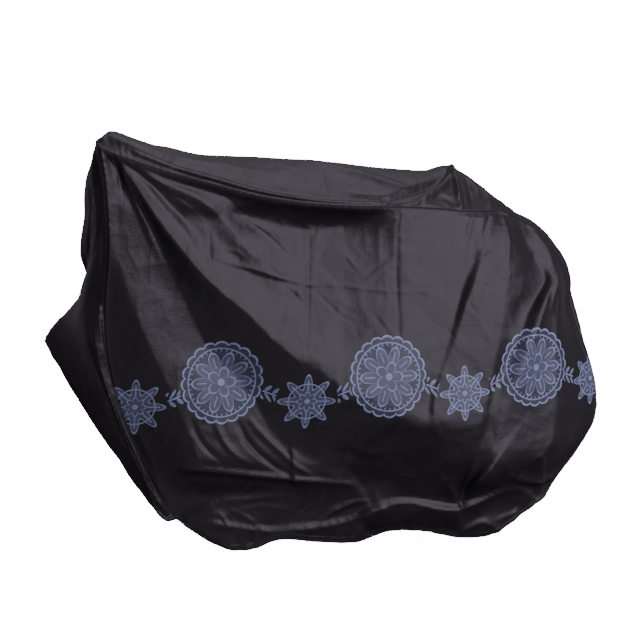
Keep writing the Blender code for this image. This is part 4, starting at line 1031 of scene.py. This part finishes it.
world = bpy.data.worlds.new("white_surround")
bpy.context.scene.world = world
world.use_nodes = True
sky = world.node_tree
seen = add(sky, "LightPath").outputs["Is Camera Ray"]
way = add(sky, "SeparateXYZ", [add(sky, "TexCoord").outputs["Generated"]]).outputs["Z"]
around = add(sky, "MapRange", [way, BELOW_ENDS, ABOVE_STARTS, BELOW, ABOVE])
strength = add(sky, "MapRange", [seen, 0.0, 1.0, around, SURROUND])
tone = add(sky, "Mix", {0: seen, 6: SURROUND_TINT, 7: PLAIN}, data_type="RGBA")
sky.links.new(strength.outputs[0], sky.nodes["Background"].inputs["Strength"])
sky.links.new(tone.outputs[2], sky.nodes["Background"].inputs["Color"])
print("floor at", FLOOR_LEVEL)

# %% The lights
MIDDLE = Vector((-0.35, 0.0, -0.45))  # of the cover
FLOOR_LIGHT, FLOOR_LIGHT_SPREAD = 70.0, 80.0  # strength, and angle in degrees


def way_to(azimuth, elevation):
    """Direction, given in degrees: 0, 0 is straight out from the near side, and azimuth turns to the rear."""
    turn, rise = np.radians(azimuth), np.radians(elevation)
    return Vector((np.sin(turn) * np.cos(rise), -np.cos(turn) * np.cos(rise), np.sin(rise)))


def soft_light(name, azimuth, elevation, distance, size, radiance, colour):
    """An area light that faces the cover's middle. Its power is radiance x pi x area, so its brightness as a
    reflection stays the same whatever its size."""
    light = bpy.data.lights.new(name, "AREA")
    light.shape = "RECTANGLE"
    light.size, light.size_y = size
    light.energy = radiance * np.pi * size[0] * size[1]
    light.color = colour
    lamp = add_object(name, light)
    towards = way_to(azimuth, elevation)
    lamp.location = MIDDLE + towards * distance
    lamp.rotation_euler = towards.to_track_quat("Z", "Y").to_euler()
    lamp.visible_camera = False
    print(name, "at", [round(v, 2) for v in lamp.location], round(light.energy), "W")
    return lamp


def light_only(lamp, thing):
    """Light linking: the lamp lights that one object."""
    group = bpy.data.collections.new("only_" + thing.name)
    group.objects.link(thing)
    lamp.light_linking.receiver_collection = group


# azimuth and elevation in degrees, distance and size in metres, radiance, colour
soft_light("key", 34.0, 20.0, 3.2, (3.0, 4.2), 2.1, (1.05, 0.965, 1.15))
soft_light("top", 128.0, 66.0, 3.0, (2.2, 1.9), 0.85, (1.05, 0.965, 1.14))
soft_light("left", -24.0, -43.0, 2.6, (2.0, 1.3), 0.34, (1.04, 0.97, 1.06))
light_only(soft_light("behind", 152.0, 18.0, 3.4, (6.0, 3.0), 1.3, (1.03, 0.98, 1.08)), far_panel)

floor_light = bpy.data.lights.new("floor_light", "SUN")
floor_light.energy = FLOOR_LIGHT
floor_light.angle = np.radians(FLOOR_LIGHT_SPREAD)
floor_light.use_shadow = False
light_only(add_object("floor_light", floor_light), floor)

# %% The camera
DISTANCE, LENS, SENSOR = 4.2, 85.909, 36.0  # metres, then millimetres
AZIMUTH, ELEVATION = -18.0, 7.0  # degrees
TARGET = Vector((-0.345, 0.10, -0.4155))
back = way_to(AZIMUTH, ELEVATION)
camera = add_object("camera", bpy.data.cameras.new("camera"))
camera.data.lens, camera.data.sensor_width = LENS, SENSOR
camera.location = TARGET + back * DISTANCE
camera.rotation_euler = back.to_track_quat("Z", "Y").to_euler()
bpy.context.scene.camera = camera
print("camera at", [round(v, 3) for v in camera.location])
